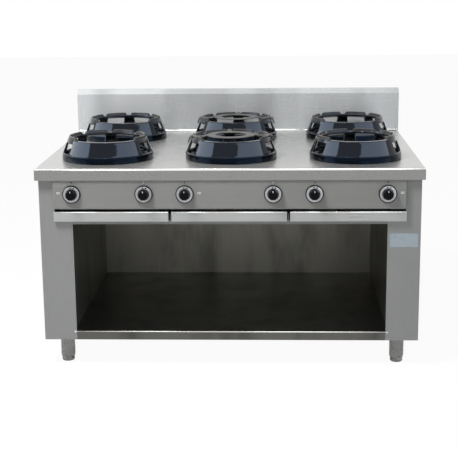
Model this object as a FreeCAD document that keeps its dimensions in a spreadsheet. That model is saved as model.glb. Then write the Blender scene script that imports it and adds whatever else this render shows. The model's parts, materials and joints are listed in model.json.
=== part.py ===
import FreeCAD, Part
import math
import os
from types import SimpleNamespace

import Sketcher
from FreeCAD import Placement, Rotation, Vector

# A free-standing gas wok range: a stainless cabinet on four legs with an open shelf
# space, three drip trays, a control panel with six knobs, and six open burners, each
# under a loose cast wok ring. Millimetres; X to the right, Y to the back, Z up; the
# origin is on the floor under the middle of the range.

DRIVING_SIZES = {
    # overall
    "overall_width": 1500,
    "body_depth": 1100,          # front to back of the worktop
    "worktop_height": 800,
    "worktop_gauge": 2,
    "sheet_gauge": 1.5,
    "lip_height": 45,            # turned-down edge of the worktop
    "bend_radius": 6,
    "splash_height": 175,        # upright face of the backsplash
    "splash_slope": 20,          # sloped band above that face
    "splash_depth": 62,
    # cabinet
    "cabinet_inset": 10.5,       # from the worktop's side edge to the side panel
    "column_setback": 22,        # from the worktop's front edge to the column faces
    "column_width": 128,
    "upper_column_width": 60,    # the column beside the trays and the panel
    "side_box_width": 119.5,
    "cabinet_depth": 928,        # worktop's front edge to the back of the shelf space
    "shelf_height": 35.5,        # above the bottom of the cabinet
    "opening_height": 435,
    "rail_height": 13.5,
    "rail_depth": 20,
    "seam": 0.3,
    "rear_return": 30,
    # legs and feet
    "leg_height": 108,
    "leg_radius": 28.5,
    "leg_wall": 1.5,
    "leg_flange_radius": 45,
    "leg_flange": 3,
    "leg_side_inset": 87,        # from the worktop's side edge to the leg's axis
    "leg_inset": 95,
    "foot_height": 17.2,
    "foot_radius": 25,
    "foot_stem_radius": 10,
    "foot_stem_length": 78,
    "insert_height": 24,
    # running fits and gaps between pieces that move apart
    "running_fit": 0.05,
    "moving_gap": 0.3,
    # drip trays
    "tray_front_height": 38,
    "tray_front_lift": 0.5,
    "tray_face_setback": 6,
    "tray_seam": 12,
    "tray_side_gap": 12.5,       # from the end of the tray front to the pan's side
    "tray_height": 28,
    "tray_gauge": 1.2,
    "tray_rear_gap": 8,
    "runner_ledge": 30,
    "runner_web": 28,
    # control panel and knobs
    "panel_side_inset": 68,      # from the worktop's side edge to the panel's end
    "panel_setback": 5,
    "panel_gap": 9.5,            # dark gap between tray fronts and panel
    "panel_top_gap": 8,
    "knob_rise": 60.5,           # knob axis above the panel's lower edge
    "knob_outward": 108,         # from an outer burner out to its front knob
    "knob_inward": 171.5,        # from an outer burner in to the other knob
    "knob_centre": 170,          # from the middle to either knob beside it
    "knob_gap": 6.5,
    "knob_height": 30,
    "skirt_radius": 31.5,
    "skirt_height": 4.5,
    "grip_radius": 22.5,
    "grip_tip_radius": 18,
    "bezel_radius": 35,
    "bezel_wall": 2.5,
    "bezel_height": 9,
    "stem_radius": 4,
    "stem_hole_radius": 6,
    "stem_engagement": 19,       # length of stem inside the knob
    "knob_travel": 4,            # the stem's way in when the knob is pressed
    # gas side
    "tap_radius": 14,
    "tap_length": 50,
    "tap_flange_radius": 18,
    "tap_flange": 3,
    "outlet_rise": 34.5,
    "outlet_depth": 33.5,
    "outlet_radius": 8,
    "outlet_half_length": 8.5,
    "boss_radius": 4.5,
    "boss_rise": 30,
    "boss_depth": 12,
    "boss_offset": 7,
    "manifold_radius": 13.45,
    "manifold_bore": 10.5,
    "manifold_depth": 75.5,      # behind the panel's face
    "manifold_overhang": 42,     # past the outer tap
    "inlet_side_inset": 50,      # from the worktop's side edge
    "inlet_inset": 32,           # in front of the worktop's rear edge
    "inlet_radius": 10.48,
    "inlet_length": 16,
    "inlet_hex_radius": 17,
    "inlet_hex_height": 14,
    "feed_pipe_radius": 5,
    "feed_pipe_bend": 12,
    "pilot_line_radius": 2,
    "probe_line_radius": 1.5,
    "thin_line_bend": 8,
    "thin_line_rise": 47.5,      # above the knob axis
    # burners
    "front_row": 270,            # from the worktop's front edge
    "rear_row": 844,
    "bowl_hole_radius": 140,
    "bowl_flange_radius": 152,
    "bowl_depth": 32,
    "bowl_floor_radius": 113,
    "bowl_collar_radius": 47,
    "bowl_collar_height": 8,
    "bowl_gauge": 1.2,
    "crown_radius": 72,
    "crown_rim": 10,
    "crown_top": 8,
    "neck_radius": 26,
    "mixing_tube_radius": 20,
    "mixing_tube_bore": 14,
    "mixing_tube_length": 130,
    "mixing_tube_drop": 65,
    "end_wall": 4,
    "post_radius": 6,
    "post_offset": 36,
    "cap_thickness": 16,
    "port_width": 3,
    "injector_radius": 9,
    "injector_hole": 6,
    "injector_length": 14,
    "pilot_offset": 34,
    "pilot_reach": 81,
    "pilot_radius": 4,
    "pilot_height": 48,
    "probe_radius": 3,
    "probe_height": 45,
    "lug_drop": 37,              # top of the pilot lug below the worktop
    "lug_thickness": 6,
    "burner_rail_top": 685,
    "burner_rail_height": 25,
    "burner_rail_width": 40,
    # wok rings and pot supports
    "ring_radius": 184,
    "ring_band": 25.5,
    "ring_height": 84,
    "ring_top_radius": 160,
    "ring_wall": 9,
    "window_width": 80,
    "window_bottom": 29,
    "window_top": 69,
    "pad_height": 11,
    "pad_angle": 35.6,
    "support_thickness": 5,
    "support_rise": 4.7,         # of the hub above the arms
    "support_hub_radius": 98,
    "support_hole_radius": 62.5,
    "support_arm_width": 36,
    "support_finger_width": 20,
    # small pieces
    "plate_width": 108.5,
    "plate_height": 55.5,
    "plate_rise": 378,           # above the bottom of the cabinet
    "plate_gauge": 0.8,
    "screw_radius": 3.5,
    "screw_height": 1.8,
}

RING_SECTORS = 8
OPEN_SECTORS = 6                 # the two front sectors are one closed shield
PORT_COUNT = 24
INNER_PORT_COUNT = 12
SLOTS_PER_ROW = 9
BEND_45 = math.tan(math.radians(22.5))    # inner corner shift of a 45 degree bend

# Each ring is a loose casting, so each is turned a little differently (degrees).
RING_TURNS = {
    "front_left": 3.5, "front_centre": 4.5, "front_right": 4.5,
    "rear_left": 1.5, "rear_centre": -2.5, "rear_right": 4,
}
SUPPORTED_RINGS = ("front_centre", "rear_centre")

doc = FreeCAD.newDocument("wok_range")


class Size:
    """A dimension: the sheet formula that gives it, and its value now."""

    def __init__(self, formula, value):
        self.formula = formula
        self.value = value

    @staticmethod
    def of(number):
        return number if isinstance(number, Size) else Size(f"({number!r})", number)

    def __add__(self, other):
        other = Size.of(other)
        return Size(f"({self.formula} + {other.formula})", self.value + other.value)

    def __sub__(self, other):
        other = Size.of(other)
        return Size(f"({self.formula} - {other.formula})", self.value - other.value)

    def __mul__(self, other):
        other = Size.of(other)
        return Size(f"({self.formula} * {other.formula})", self.value * other.value)

    def __truediv__(self, other):
        other = Size.of(other)
        return Size(f"({self.formula} / {other.formula})", self.value / other.value)

    def __neg__(self):
        return self * -1

    def __radd__(self, other):
        return Size.of(other) + self

    def __rsub__(self, other):
        return Size.of(other) - self

    def __rmul__(self, other):
        return Size.of(other) * self


def fill_sheet():
    """Put the driving sizes in the sheet and give them back by name."""
    sheet = doc.addObject("Spreadsheet::Sheet", "dims")
    for row, (name, value) in enumerate(DRIVING_SIZES.items(), start=1):
        sheet.set(f"A{row}", name)
        sheet.set(f"B{row}", str(value))
        sheet.setAlias(f"B{row}", name)
    doc.recompute()
    return SimpleNamespace(**{name: Size(f"dims.{name}", value)
                              for name, value in DRIVING_SIZES.items()})


dim = fill_sheet()

# ---------------------------------------------------------------- places worked out
half_width = dim.overall_width / 2
knob_stand = dim.knob_gap + dim.knob_height - dim.panel_setback
front = (knob_stand - dim.body_depth) / 2       # front edge of the worktop
back = front + dim.body_depth
top = dim.worktop_height
under_top = top - dim.worktop_gauge
lip_bottom = top - dim.lip_height
base = dim.leg_height                           # bottom of the cabinet
gauge = dim.sheet_gauge
side_face = half_width - dim.cabinet_inset
column_face = front + dim.column_setback
column_edge = side_face - dim.column_width
upper_column_edge = side_face - dim.upper_column_width
lining_face = side_face - dim.side_box_width
cabinet_back = front + dim.cabinet_depth
rear_inside = back - dim.worktop_gauge - gauge  # inner face of the rear panel
splash_face = back - dim.splash_depth
shelf_top = base + dim.shelf_height
tray_level = shelf_top + dim.opening_height + dim.rail_height
tray_front_bottom = tray_level + dim.tray_front_lift
tray_bottom = tray_level + gauge + dim.moving_gap
panel_half = half_width - dim.panel_side_inset
tray_pitch = (panel_half * 2 + dim.tray_seam) / 3
tray_half_width = (tray_pitch - dim.tray_seam) / 2 - dim.tray_side_gap
leg_x = half_width - dim.leg_side_inset
inlet_x = half_width - dim.inlet_side_inset
panel_face = front + dim.panel_setback
panel_bottom = tray_front_bottom + dim.tray_front_height + dim.panel_gap
panel_top = under_top - dim.panel_top_gap
knob_axis = panel_bottom + dim.knob_rise
row_y = {"front": front + dim.front_row, "rear": front + dim.rear_row}
column_pitch = dim.overall_width / 3
column_x = {"left": -column_pitch, "centre": Size.of(0), "right": column_pitch}
injector_y = -dim.mixing_tube_length - dim.injector_length
ring_bottom = top + dim.moving_gap
support_bottom = dim.ring_height + dim.moving_gap
inlet_y = back - dim.inlet_inset
manifold_y = panel_face + dim.manifold_depth
inlet_pipe_end = base + 4

# each knob's place, by the burner that it feeds
outer_knob = column_pitch + dim.knob_outward
inner_knob = column_pitch - dim.knob_inward
KNOBS = {
    "front_left": -outer_knob, "rear_left": -inner_knob,
    "front_centre": -dim.knob_centre, "rear_centre": dim.knob_centre,
    "front_right": inner_knob, "rear_right": outer_knob,
}
STATIONS = tuple(KNOBS)
finished = []


# ------------------------------------------------------------------ drawing helpers
def tie(item, path, size):
    """Bind one property of an object to its formula."""
    item.setExpression(path, Size.of(size).formula)


def put(item, x=0, y=0, z=0, rotation=None):
    """Place an object, its position bound to the sheet."""
    item.Placement = Placement(Vector(0, 0, 0), rotation or Rotation())
    for axis, size in zip("xyz", (x, y, z)):
        tie(item, f"Placement.Base.{axis}", size)
    return item


def box(name, x, y, z):
    """A block between two limits along each axis."""
    item = doc.addObject("Part::Box", name)
    for prop, (low, high) in zip(("Length", "Width", "Height"), (x, y, z)):
        tie(item, prop, Size.of(high) - low)
    return put(item, x[0], y[0], z[0])


AXIS_TURN = {
    "x": Rotation(Vector(0, 1, 0), 90),
    "y": Rotation(Vector(1, 0, 0), -90),
    "z": Rotation(),
}


def rod(name, axis, radius, start, length):
    """A round bar from a start point along an axis."""
    item = doc.addObject("Part::Cylinder", name)
    tie(item, "Radius", radius)
    tie(item, "Height", length)
    return put(item, *start, rotation=AXIS_TURN[axis])


def fuse(name, items):
    item = doc.addObject("Part::MultiFuse", name)
    item.Shapes = items
    return item


def cut(name, stock, tools):
    """Take the tools away from the stock."""
    item = doc.addObject("Part::Cut", name)
    item.Base = stock
    item.Tool = tools[0] if len(tools) == 1 else fuse(name + "_tools", tools)
    return item


def group(name, items):
    """Separate solids that share one node."""
    item = doc.addObject("Part::Compound", name)
    item.Links = items
    return item


def copy_of(name, pattern, x, y, z, rotation=None):
    """One more of a repeated piece, at its own place."""
    return put(group(name, [pattern]), x, y, z, rotation)


def keep(label, item):
    """Mark an object as a finished sub-part under its own name."""
    item.Label = label
    finished.append(item)
    return item


def on_side(side, low, high):
    """Limits along X, mirrored for the left side."""
    return (low, high) if side == "right" else (-high, -low)


def new_body(name):
    return doc.addObject("PartDesign::Body", name)


def sketch_on(body, plane):
    """An empty sketch on one of the body's own origin planes."""
    sketch = body.newObject("Sketcher::SketchObject", body.Name + "_sketch")
    origin_plane = next(o for o in body.Origin.OriginFeatures if o.Role == plane)
    sketch.AttachmentSupport = [(origin_plane, "")]
    sketch.MapMode = "FlatFace"
    return sketch


def pin_point(sketch, geometry, vertex, point):
    """Hold a sketch point at its distances from the sketch's origin."""
    for kind, size in zip(("DistanceX", "DistanceY"), point):
        size = Size.of(size)
        index = sketch.addConstraint(
            Sketcher.Constraint(kind, -1, 1, geometry, vertex, size.value))
        tie(sketch, f"Constraints[{index}]", size)


def draw_outline(sketch, points):
    """A closed outline of straight lines through the points."""
    first = sketch.GeometryCount
    count = len(points)
    corners = [Vector(Size.of(u).value, Size.of(v).value, 0) for u, v in points]
    for index in range(count):
        sketch.addGeometry(Part.LineSegment(corners[index], corners[(index + 1) % count]), False)
    for index in range(count):
        following = first + (index + 1) % count
        sketch.addConstraint(Sketcher.Constraint("Coincident", first + index, 2, following, 1))
    for index, point in enumerate(points):
        pin_point(sketch, first + index, 1, point)


def draw_rectangle(sketch, low, high):
    draw_outline(sketch, [low, (high[0], low[1]), high, (low[0], high[1])])


def draw_circle(sketch, centre, radius):
    middle = Vector(Size.of(centre[0]).value, Size.of(centre[1]).value, 0)
    index = sketch.addGeometry(Part.Circle(middle, Vector(0, 0, 1), radius.value), False)
    pin_point(sketch, index, 3, centre)
    held = sketch.addConstraint(Sketcher.Constraint("Radius", index, radius.value))
    tie(sketch, f"Constraints[{held}]", radius)


def extrude(body, sketch, length, symmetric=False):
    """Pad a sketch along its normal, or to both sides of its plane."""
    pad = body.newObject("PartDesign::Pad", body.Name + "_pad")
    pad.Profile = sketch
    pad.SideType = "Symmetric" if symmetric else "One side"
    tie(pad, "Length", length)
    return pad


def pocket(body, sketch, length, symmetric=False):
    """Cut a sketch along its normal, or to both sides of its plane."""
    feature = body.newObject("PartDesign::Pocket", body.Name + "_pocket")
    feature.Profile = sketch
    feature.Type = "Length"
    feature.Reversed = not symmetric
    feature.SideType = "Symmetric" if symmetric else "One side"
    tie(feature, "Length", length)
    return feature


def revolve(body, sketch, angle=None):
    """Turn a sketch on the XZ plane about the body's Z axis."""
    feature = body.newObject("PartDesign::Revolution", body.Name + "_turned")
    feature.Profile = sketch
    feature.ReferenceAxis = (sketch, ["V_Axis"])
    if angle is None:
        feature.Angle = 360
    else:
        feature.Midplane = True
        tie(feature, "Angle", angle)
    return feature


def repeat_round(body, sketch, axis, features, count, span):
    """Repeat features about an axis of a sketch; the copies fill the span."""
    pattern = body.newObject("PartDesign::PolarPattern", body.Name + "_pattern")
    pattern.Originals = features
    pattern.Axis = (sketch, [axis])
    pattern.Angle = span
    pattern.Occurrences = count
    body.Tip = pattern
    return pattern


def soften(body, radius, wanted):
    """Fillet the edges of the body's last feature that the test picks."""
    doc.recompute()
    tip = body.Tip
    names = [f"Edge{index}" for index, edge in enumerate(tip.Shape.Edges, start=1)
             if wanted(edge)]
    feature = body.newObject("PartDesign::Fillet", body.Name + "_fillet")
    feature.Base = (tip, names)
    tie(feature, "Radius", radius)
    doc.recompute()
    return feature


def lies_at(edge, **levels):
    """True if both ends of an edge lie at the given coordinates."""
    return all(abs(getattr(vertex.Point, axis) - Size.of(level).value) < 1e-4
               for vertex in edge.Vertexes for axis, level in levels.items())


def turned_piece(name, outline):
    """A body turned from one outline of radius and height."""
    body = new_body(name)
    sketch = sketch_on(body, "XZ_Plane")
    draw_outline(sketch, outline)
    revolve(body, sketch)
    return body


def bent_line(name, points, radius, bend):
    """A round line bent in space: straight runs joined by tangent arcs."""
    corners = [Vector(*(Size.of(value).value for value in point)) for point in points]
    edges = []
    start = corners[0]
    for before, corner, after in zip(corners, corners[1:], corners[2:]):
        inward = (before - corner).normalize()
        outward = (after - corner).normalize()
        half_angle = inward.getAngle(outward) / 2
        reach = bend.value / math.tan(half_angle)
        arc_start = corner + inward * reach
        arc_end = corner + outward * reach
        to_centre = (inward + outward).normalize()
        arc_middle = corner + to_centre * (bend.value / math.sin(half_angle) - bend.value)
        edges.append(Part.LineSegment(start, arc_start).toShape())
        edges.append(Part.Arc(arc_start, arc_middle, arc_end).toShape())
        start = arc_end
    edges.append(Part.LineSegment(start, corners[-1]).toShape())
    section = Part.Wire([Part.Circle(corners[0], corners[1] - corners[0], radius.value).toShape()])
    item = doc.addObject("Part::Feature", name)
    item.Shape = Part.Wire(edges).makePipeShell([section], True, False)
    return item


# --------------------------------------------------------------- worktop and splash
def make_worktop():
    """The folded top sheet with its turned-down edges and six bowl holes."""
    body = put(new_body("worktop_sheet"), z=lip_bottom)
    outside = sketch_on(body, "XY_Plane")
    draw_rectangle(outside, (-half_width, front), (half_width, back))
    extrude(body, outside, dim.lip_height)
    inside = sketch_on(body, "XY_Plane")
    draw_rectangle(inside, (dim.worktop_gauge - half_width, front + dim.worktop_gauge),
                   (half_width - dim.worktop_gauge, back - dim.worktop_gauge))
    depth = dim.lip_height - dim.worktop_gauge
    pocket(body, inside, depth)
    soften(body, dim.bend_radius - dim.worktop_gauge,
           lambda edge: lies_at(edge, z=depth) and not lies_at(edge, y=back - dim.worktop_gauge))
    soften(body, dim.bend_radius, lambda edge: lies_at(edge, z=dim.lip_height)
           and not lies_at(edge, y=back))
    holes = sketch_on(body, "XY_Plane")
    for row in row_y.values():
        for column in column_x.values():
            draw_circle(holes, (column, row), dim.bowl_hole_radius)
    pocket(body, holes, dim.lip_height)
    keep("worktop", body)


def make_backsplash():
    """The hollow upstand along the back edge, with a sloped band at its top."""
    slope = dim.splash_slope
    face_top = top + dim.splash_height
    crest = face_top + slope
    body = new_body("splash_sheet")
    outside = sketch_on(body, "YZ_Plane")
    draw_outline(outside, [(splash_face, top), (splash_face, face_top),
                           (splash_face + slope, crest), (back, crest), (back, top)])
    extrude(body, outside, dim.overall_width, symmetric=True)
    inside = sketch_on(body, "YZ_Plane")
    draw_outline(inside, [(splash_face + gauge, top),
                          (splash_face + gauge, face_top - gauge * BEND_45),
                          (splash_face + slope + gauge * BEND_45, crest - gauge),
                          (back - gauge, crest - gauge), (back - gauge, top)])
    pocket(body, inside, dim.overall_width - gauge * 2, symmetric=True)
    keep("backsplash", body)


# -------------------------------------------------------------------------- cabinet
def make_side(side):
    """Outer side panel with its front column, rear return and bottom flange."""
    depth = (column_face, rear_inside)
    front_fold = (column_face, column_face + gauge)
    pieces = [
        box("side_wall", on_side(side, side_face - gauge, side_face), depth, (base, under_top)),
        box("column", on_side(side, column_edge, side_face), front_fold, (base, tray_level)),
        box("upper_column", on_side(side, upper_column_edge, side_face), front_fold,
            (tray_level, under_top)),
        box("rear_fold", on_side(side, side_face - dim.rear_return, side_face),
            (rear_inside - gauge, rear_inside), (base, under_top)),
        box("bottom_fold", on_side(side, lining_face, side_face), depth, (base, base + gauge)),
    ]
    panel = fuse("side_sheet", pieces)
    if side == "right":
        hole = rod("inlet_hole", "z", dim.inlet_hex_radius + 2, (inlet_x, inlet_y, base), gauge)
        panel = cut("side_sheet_with_inlet_hole", panel, [hole])
    keep(f"{side}_side_panel", panel)


def make_lining(side):
    """Inner side panel, with the ledge that carries the outer tray runner."""
    depth = (column_face + gauge, cabinet_back)
    wall = box("lining_wall", on_side(side, lining_face, lining_face + gauge), depth,
               (base + gauge, tray_level))
    ledge = box("lining_ledge", on_side(side, lining_face, side_face - gauge), depth,
                (tray_level - gauge, tray_level))
    keep(f"{side}_inner_panel", fuse("lining", [wall, ledge]))


def make_cabinet_back():
    """The panel that closes the shelf space, with a top flange under the runners."""
    width = (-lining_face - gauge, lining_face + gauge)
    wall = box("back_wall", width, (cabinet_back, cabinet_back + gauge), (base + gauge, tray_level))
    flange = box("back_flange", width, (cabinet_back, cabinet_back + dim.rail_depth),
                 (tray_level - gauge, tray_level))
    keep("cabinet_back_panel", fuse("back_sheet", [wall, flange]))


def make_rear_panel():
    """The outer back of the cabinet with two rows of vent slots."""
    slot_length, slot_height, slot_pitch, row_drop = 70, 6, 140, 60
    sheet = box("rear_sheet", (-side_face, side_face), (rear_inside, rear_inside + gauge),
                (base, lip_bottom))
    slots = []
    for row in range(2):
        for index in range(SLOTS_PER_ROW):
            left = (index - (SLOTS_PER_ROW - 1) / 2) * slot_pitch - slot_length / 2
            low = lip_bottom - row_drop * (row + 1)
            slots.append(box("vent_slot", (left, left + slot_length),
                             (rear_inside, rear_inside + gauge), (low, low + slot_height)))
    keep("rear_panel", cut("rear_sheet_slotted", sheet, [group("vent_slots", slots)]))


def make_base_shelf():
    """The floor of the open space, folded down on all four sides."""
    depth = (column_face + gauge, cabinet_back)
    height = (base, shelf_top)
    lip_half = column_edge - dim.seam
    pieces = [
        box("shelf_plate", (-lining_face, lining_face), depth, (shelf_top - gauge, shelf_top)),
        box("shelf_lip", (-lip_half, lip_half), (column_face, column_face + gauge), height),
        box("shelf_rear_fold", (-lining_face, lining_face), (cabinet_back - gauge, cabinet_back),
            height),
        box("shelf_left_fold", (-lining_face, gauge - lining_face), depth, height),
        box("shelf_right_fold", (lining_face - gauge, lining_face), depth, height),
    ]
    keep("base_shelf", fuse("shelf_sheet", pieces))


def make_lower_rail():
    """The channel across the front, under the tray fronts."""
    half = column_edge - dim.seam
    low = tray_level - dim.rail_height
    depth = (column_face, column_face + dim.rail_depth)
    pieces = [
        box("rail_web", (-half, half), (column_face, column_face + gauge), (low, tray_level)),
        box("rail_top", (-half, half), depth, (tray_level - gauge, tray_level)),
        box("rail_bottom", (-half, half), depth, (low, low + gauge)),
    ]
    keep("lower_rail", fuse("rail_channel", pieces))


def make_burner_rails():
    """Two inverted channels across the cabinet that the burners stand on."""
    half = side_face - gauge
    high = dim.burner_rail_top
    low = high - dim.burner_rail_height
    reach = dim.burner_rail_width / 2
    for row, middle in row_y.items():
        stock = box("burner_rail_stock", (-half, half), (middle - reach, middle + reach), (low, high))
        hollow = box("burner_rail_hollow", (-half, half),
                     (middle - reach + gauge, middle + reach - gauge), (low, high - gauge))
        keep(f"{row}_burner_rail", cut("burner_rail_channel", stock, [hollow]))


def make_tray_runners():
    """Two middle tees and two side angles that the drip trays slide on."""
    depth = (column_face + gauge, cabinet_back + dim.rail_depth)
    ledge_level = (tray_level, tray_level + gauge)
    web_level = (tray_level, tray_level + dim.runner_web)
    runners = []
    for sign in (-1, 1):
        middle = tray_pitch / 2 * sign
        runners.append(fuse("middle_runner", [
            box("tee_ledge", (middle - dim.runner_ledge, middle + dim.runner_ledge), depth, ledge_level),
            box("tee_web", (middle - gauge / 2, middle + gauge / 2), depth, web_level)]))
    outer_edge = tray_pitch + tray_half_width
    web = outer_edge + dim.runner_ledge / 6
    for side in ("left", "right"):
        runners.append(fuse("side_runner", [
            box("angle_ledge", on_side(side, outer_edge - dim.runner_ledge / 2, web), depth, ledge_level),
            box("angle_web", on_side(side, web - gauge, web), depth, web_level)]))
    keep("tray_runners", group("runner_set", runners))


def make_rating_plate():
    """A blank plate on the face of the right column."""
    middle = (column_edge + side_face) / 2
    low = base + dim.plate_rise
    keep("rating_plate", box("blank_plate", (middle - dim.plate_width / 2, middle + dim.plate_width / 2),
                             (column_face - dim.plate_gauge, column_face),
                             (low, low + dim.plate_height)))


def make_screws():
    """Pan-head screws at the opening's lower corners and round the rear panel."""
    head = turned_piece("screw_head", [
        (0, 0), (dim.screw_radius, 0), (dim.screw_radius * 0.9, dim.screw_height * 0.55),
        (dim.screw_radius * 0.5, dim.screw_height), (0, dim.screw_height)])
    facing_front = Rotation(Vector(1, 0, 0), 90)
    facing_back = Rotation(Vector(1, 0, 0), -90)
    edge_margin = 15
    column_screw = column_edge + dim.screw_radius * 1.7
    screws = [copy_of("column_screw", head, column_screw * sign, column_face,
                      shelf_top - dim.screw_radius, facing_front) for sign in (-1, 1)]
    for level in (base + edge_margin * 2, (base + lip_bottom) / 2, lip_bottom - edge_margin):
        for sign in (-1, 1):
            screws.append(copy_of("rear_screw", head, (side_face - edge_margin) * sign,
                                  rear_inside + gauge, level, facing_back))
    keep("case_screws", group("screw_set", screws))


# ------------------------------------------------------------------- legs and feet
def make_legs():
    """Four tubular legs with a flange at the top and a threaded insert below."""
    low = dim.foot_height + dim.moving_gap
    bore = dim.foot_stem_radius + dim.running_fit
    inner = dim.leg_radius - dim.leg_wall
    flange = dim.leg_height - dim.leg_flange
    leg = turned_piece("leg_tube", [
        (bore, low), (dim.leg_radius - 2, low), (dim.leg_radius, low + 10),
        (dim.leg_radius, flange), (dim.leg_flange_radius, flange),
        (dim.leg_flange_radius, dim.leg_height), (0, dim.leg_height), (0, flange),
        (inner, flange), (inner, low + dim.insert_height), (bore, low + dim.insert_height)])
    radius = dim.foot_radius
    stem_top = dim.foot_height + dim.foot_stem_length
    foot = turned_piece("foot_pattern", [
        (0, 0), (radius - 3, 0), (radius, 3), (radius, dim.foot_height - 5),
        (radius - 3, dim.foot_height), (dim.foot_stem_radius, dim.foot_height),
        (dim.foot_stem_radius, stem_top), (0, stem_top)])
    legs = []
    for row, y in (("front", front + dim.leg_inset), ("rear", back - dim.leg_inset)):
        for side, x in (("left", -leg_x), ("right", leg_x)):
            legs.append(copy_of("leg", leg, x, y, 0))
            keep(f"foot_{row}_{side}", copy_of("levelling_foot", foot, x, y, 0))
    keep("legs", group("leg_set", legs))


# ---------------------------------------------------------- control panel and knobs
def make_control_panel():
    """A shallow folded cover, open at the back, with six holes for the stems."""
    depth = dim.column_setback - dim.panel_setback
    body = put(new_body("panel_sheet"), y=column_face)
    outside = sketch_on(body, "XZ_Plane")
    draw_rectangle(outside, (-panel_half, panel_bottom), (panel_half, panel_top))
    extrude(body, outside, depth)
    inside = sketch_on(body, "XZ_Plane")
    draw_rectangle(inside, (gauge - panel_half, panel_bottom + gauge),
                   (panel_half - gauge, panel_top - gauge))
    hollow = depth - gauge
    pocket(body, inside, hollow)
    soften(body, dim.bend_radius - gauge, lambda edge: lies_at(edge, y=-hollow)
           and not lies_at(edge, z=panel_top - gauge))
    soften(body, dim.bend_radius, lambda edge: lies_at(edge, y=-depth)
           and not lies_at(edge, z=panel_top))
    holes = sketch_on(body, "XZ_Plane")
    for x in KNOBS.values():
        draw_circle(holes, (x, knob_axis), dim.stem_hole_radius)
    pocket(body, holes, depth)
    keep("control_panel", body)


def make_knob_pattern():
    """A moulded knob: a flat skirt, a tapered grip with flutes, and a blind bore."""
    skirt = dim.knob_gap
    grip = skirt + dim.skirt_height
    tip = dim.knob_gap + dim.knob_height
    bore = dim.stem_radius + dim.running_fit
    bore_end = dim.knob_gap + dim.stem_engagement + dim.moving_gap
    knob = new_body("knob_pattern")
    sketch = sketch_on(knob, "XZ_Plane")
    draw_outline(sketch, [
        (bore, skirt), (dim.skirt_radius, skirt), (dim.skirt_radius, grip - 1),
        (dim.skirt_radius - 1, grip), (dim.grip_radius, grip),
        (dim.grip_tip_radius + 1.5, tip - 4), (dim.grip_tip_radius - 1, tip - 1),
        (dim.grip_tip_radius - 5, tip), (0, tip), (0, bore_end), (bore, bore_end)])
    revolve(knob, sketch)
    flute = sketch_on(knob, "XY_Plane")
    draw_circle(flute, (dim.grip_radius + 12, 0), Size.of(14))
    flute_cut = pocket(knob, flute, tip + 1)
    flute_start = skirt + dim.skirt_height + 3
    flute.AttachmentOffset = Placement(Vector(0, 0, flute_start.value), Rotation())
    tie(flute, "AttachmentOffset.Base.z", flute_start)
    repeat_round(knob, flute, "N_Axis", [flute_cut], RING_SECTORS, 360)
    return knob


def make_tap_pattern():
    """A gas tap along its stem: flange, barrel, manifold saddle, outlet and bosses."""
    face = -gauge
    barrel = face - dim.tap_flange
    saddle = -dim.manifold_depth
    stock = fuse("tap_stock", [
        rod("tap_flange", "z", dim.tap_flange_radius, (0, 0, barrel), dim.tap_flange),
        rod("tap_barrel", "z", dim.tap_radius, (0, 0, -dim.tap_length), dim.tap_length + barrel),
        rod("tap_inlet", "z", dim.tap_radius * 0.7, (0, 0, saddle + dim.manifold_bore),
            dim.tap_length * -1 - saddle - dim.manifold_bore),
        rod("tap_riser", "y", dim.outlet_radius - 1, (0, 0, -dim.outlet_depth), dim.outlet_rise),
        rod("tap_outlet", "z", dim.outlet_radius,
            (0, dim.outlet_rise, -dim.outlet_depth - dim.outlet_half_length),
            dim.outlet_half_length * 2),
        rod("probe_boss", "y", dim.boss_radius, (-dim.boss_offset, 0, -dim.boss_depth),
            dim.boss_rise),
        rod("pilot_boss", "y", dim.boss_radius, (dim.boss_offset, 0, -dim.boss_depth),
            dim.boss_rise),
    ])
    bore_length = dim.tap_length * 0.6 + dim.knob_travel + 6
    return cut("tap_pattern", stock, [
        rod("tap_bore", "z", dim.stem_radius + dim.running_fit, (0, 0, -bore_length),
            bore_length),
        rod("tap_saddle", "x", dim.manifold_radius + 0.15, (-dim.tap_radius * 2, 0, saddle),
            dim.tap_radius * 4)])


def make_controls():
    """Knobs, stems, bezels and taps at the six stations of the panel."""
    facing_front = Rotation(Vector(1, 0, 0), 90)
    knob = make_knob_pattern()
    tap = make_tap_pattern()
    rim = dim.bezel_radius - dim.bezel_wall
    bezel = turned_piece("bezel_pattern", [
        (dim.stem_hole_radius, 0), (dim.bezel_radius, 0), (dim.bezel_radius, dim.bezel_height - 1),
        (dim.bezel_radius - 1, dim.bezel_height), (rim, dim.bezel_height), (rim, gauge),
        (dim.stem_hole_radius, gauge)])
    stem_tip = dim.knob_gap + dim.stem_engagement
    stem_inside = dim.tap_length * 0.6
    bezels = []
    taps = []
    for name, x in KNOBS.items():
        place = (x, panel_face, knob_axis, facing_front)
        keep(f"knob_{name}", copy_of("knob", knob, *place))
        stem = rod("stem_bar", "z", dim.stem_radius, (0, 0, -stem_inside), stem_tip + stem_inside)
        keep(f"tap_stem_{name}", copy_of("tap_stem", stem, *place))
        bezels.append(copy_of("bezel", bezel, *place))
        taps.append(copy_of("tap", tap, *place))
    keep("knob_bezels", group("bezel_set", bezels))
    keep("gas_taps", group("tap_set", taps))


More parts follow.
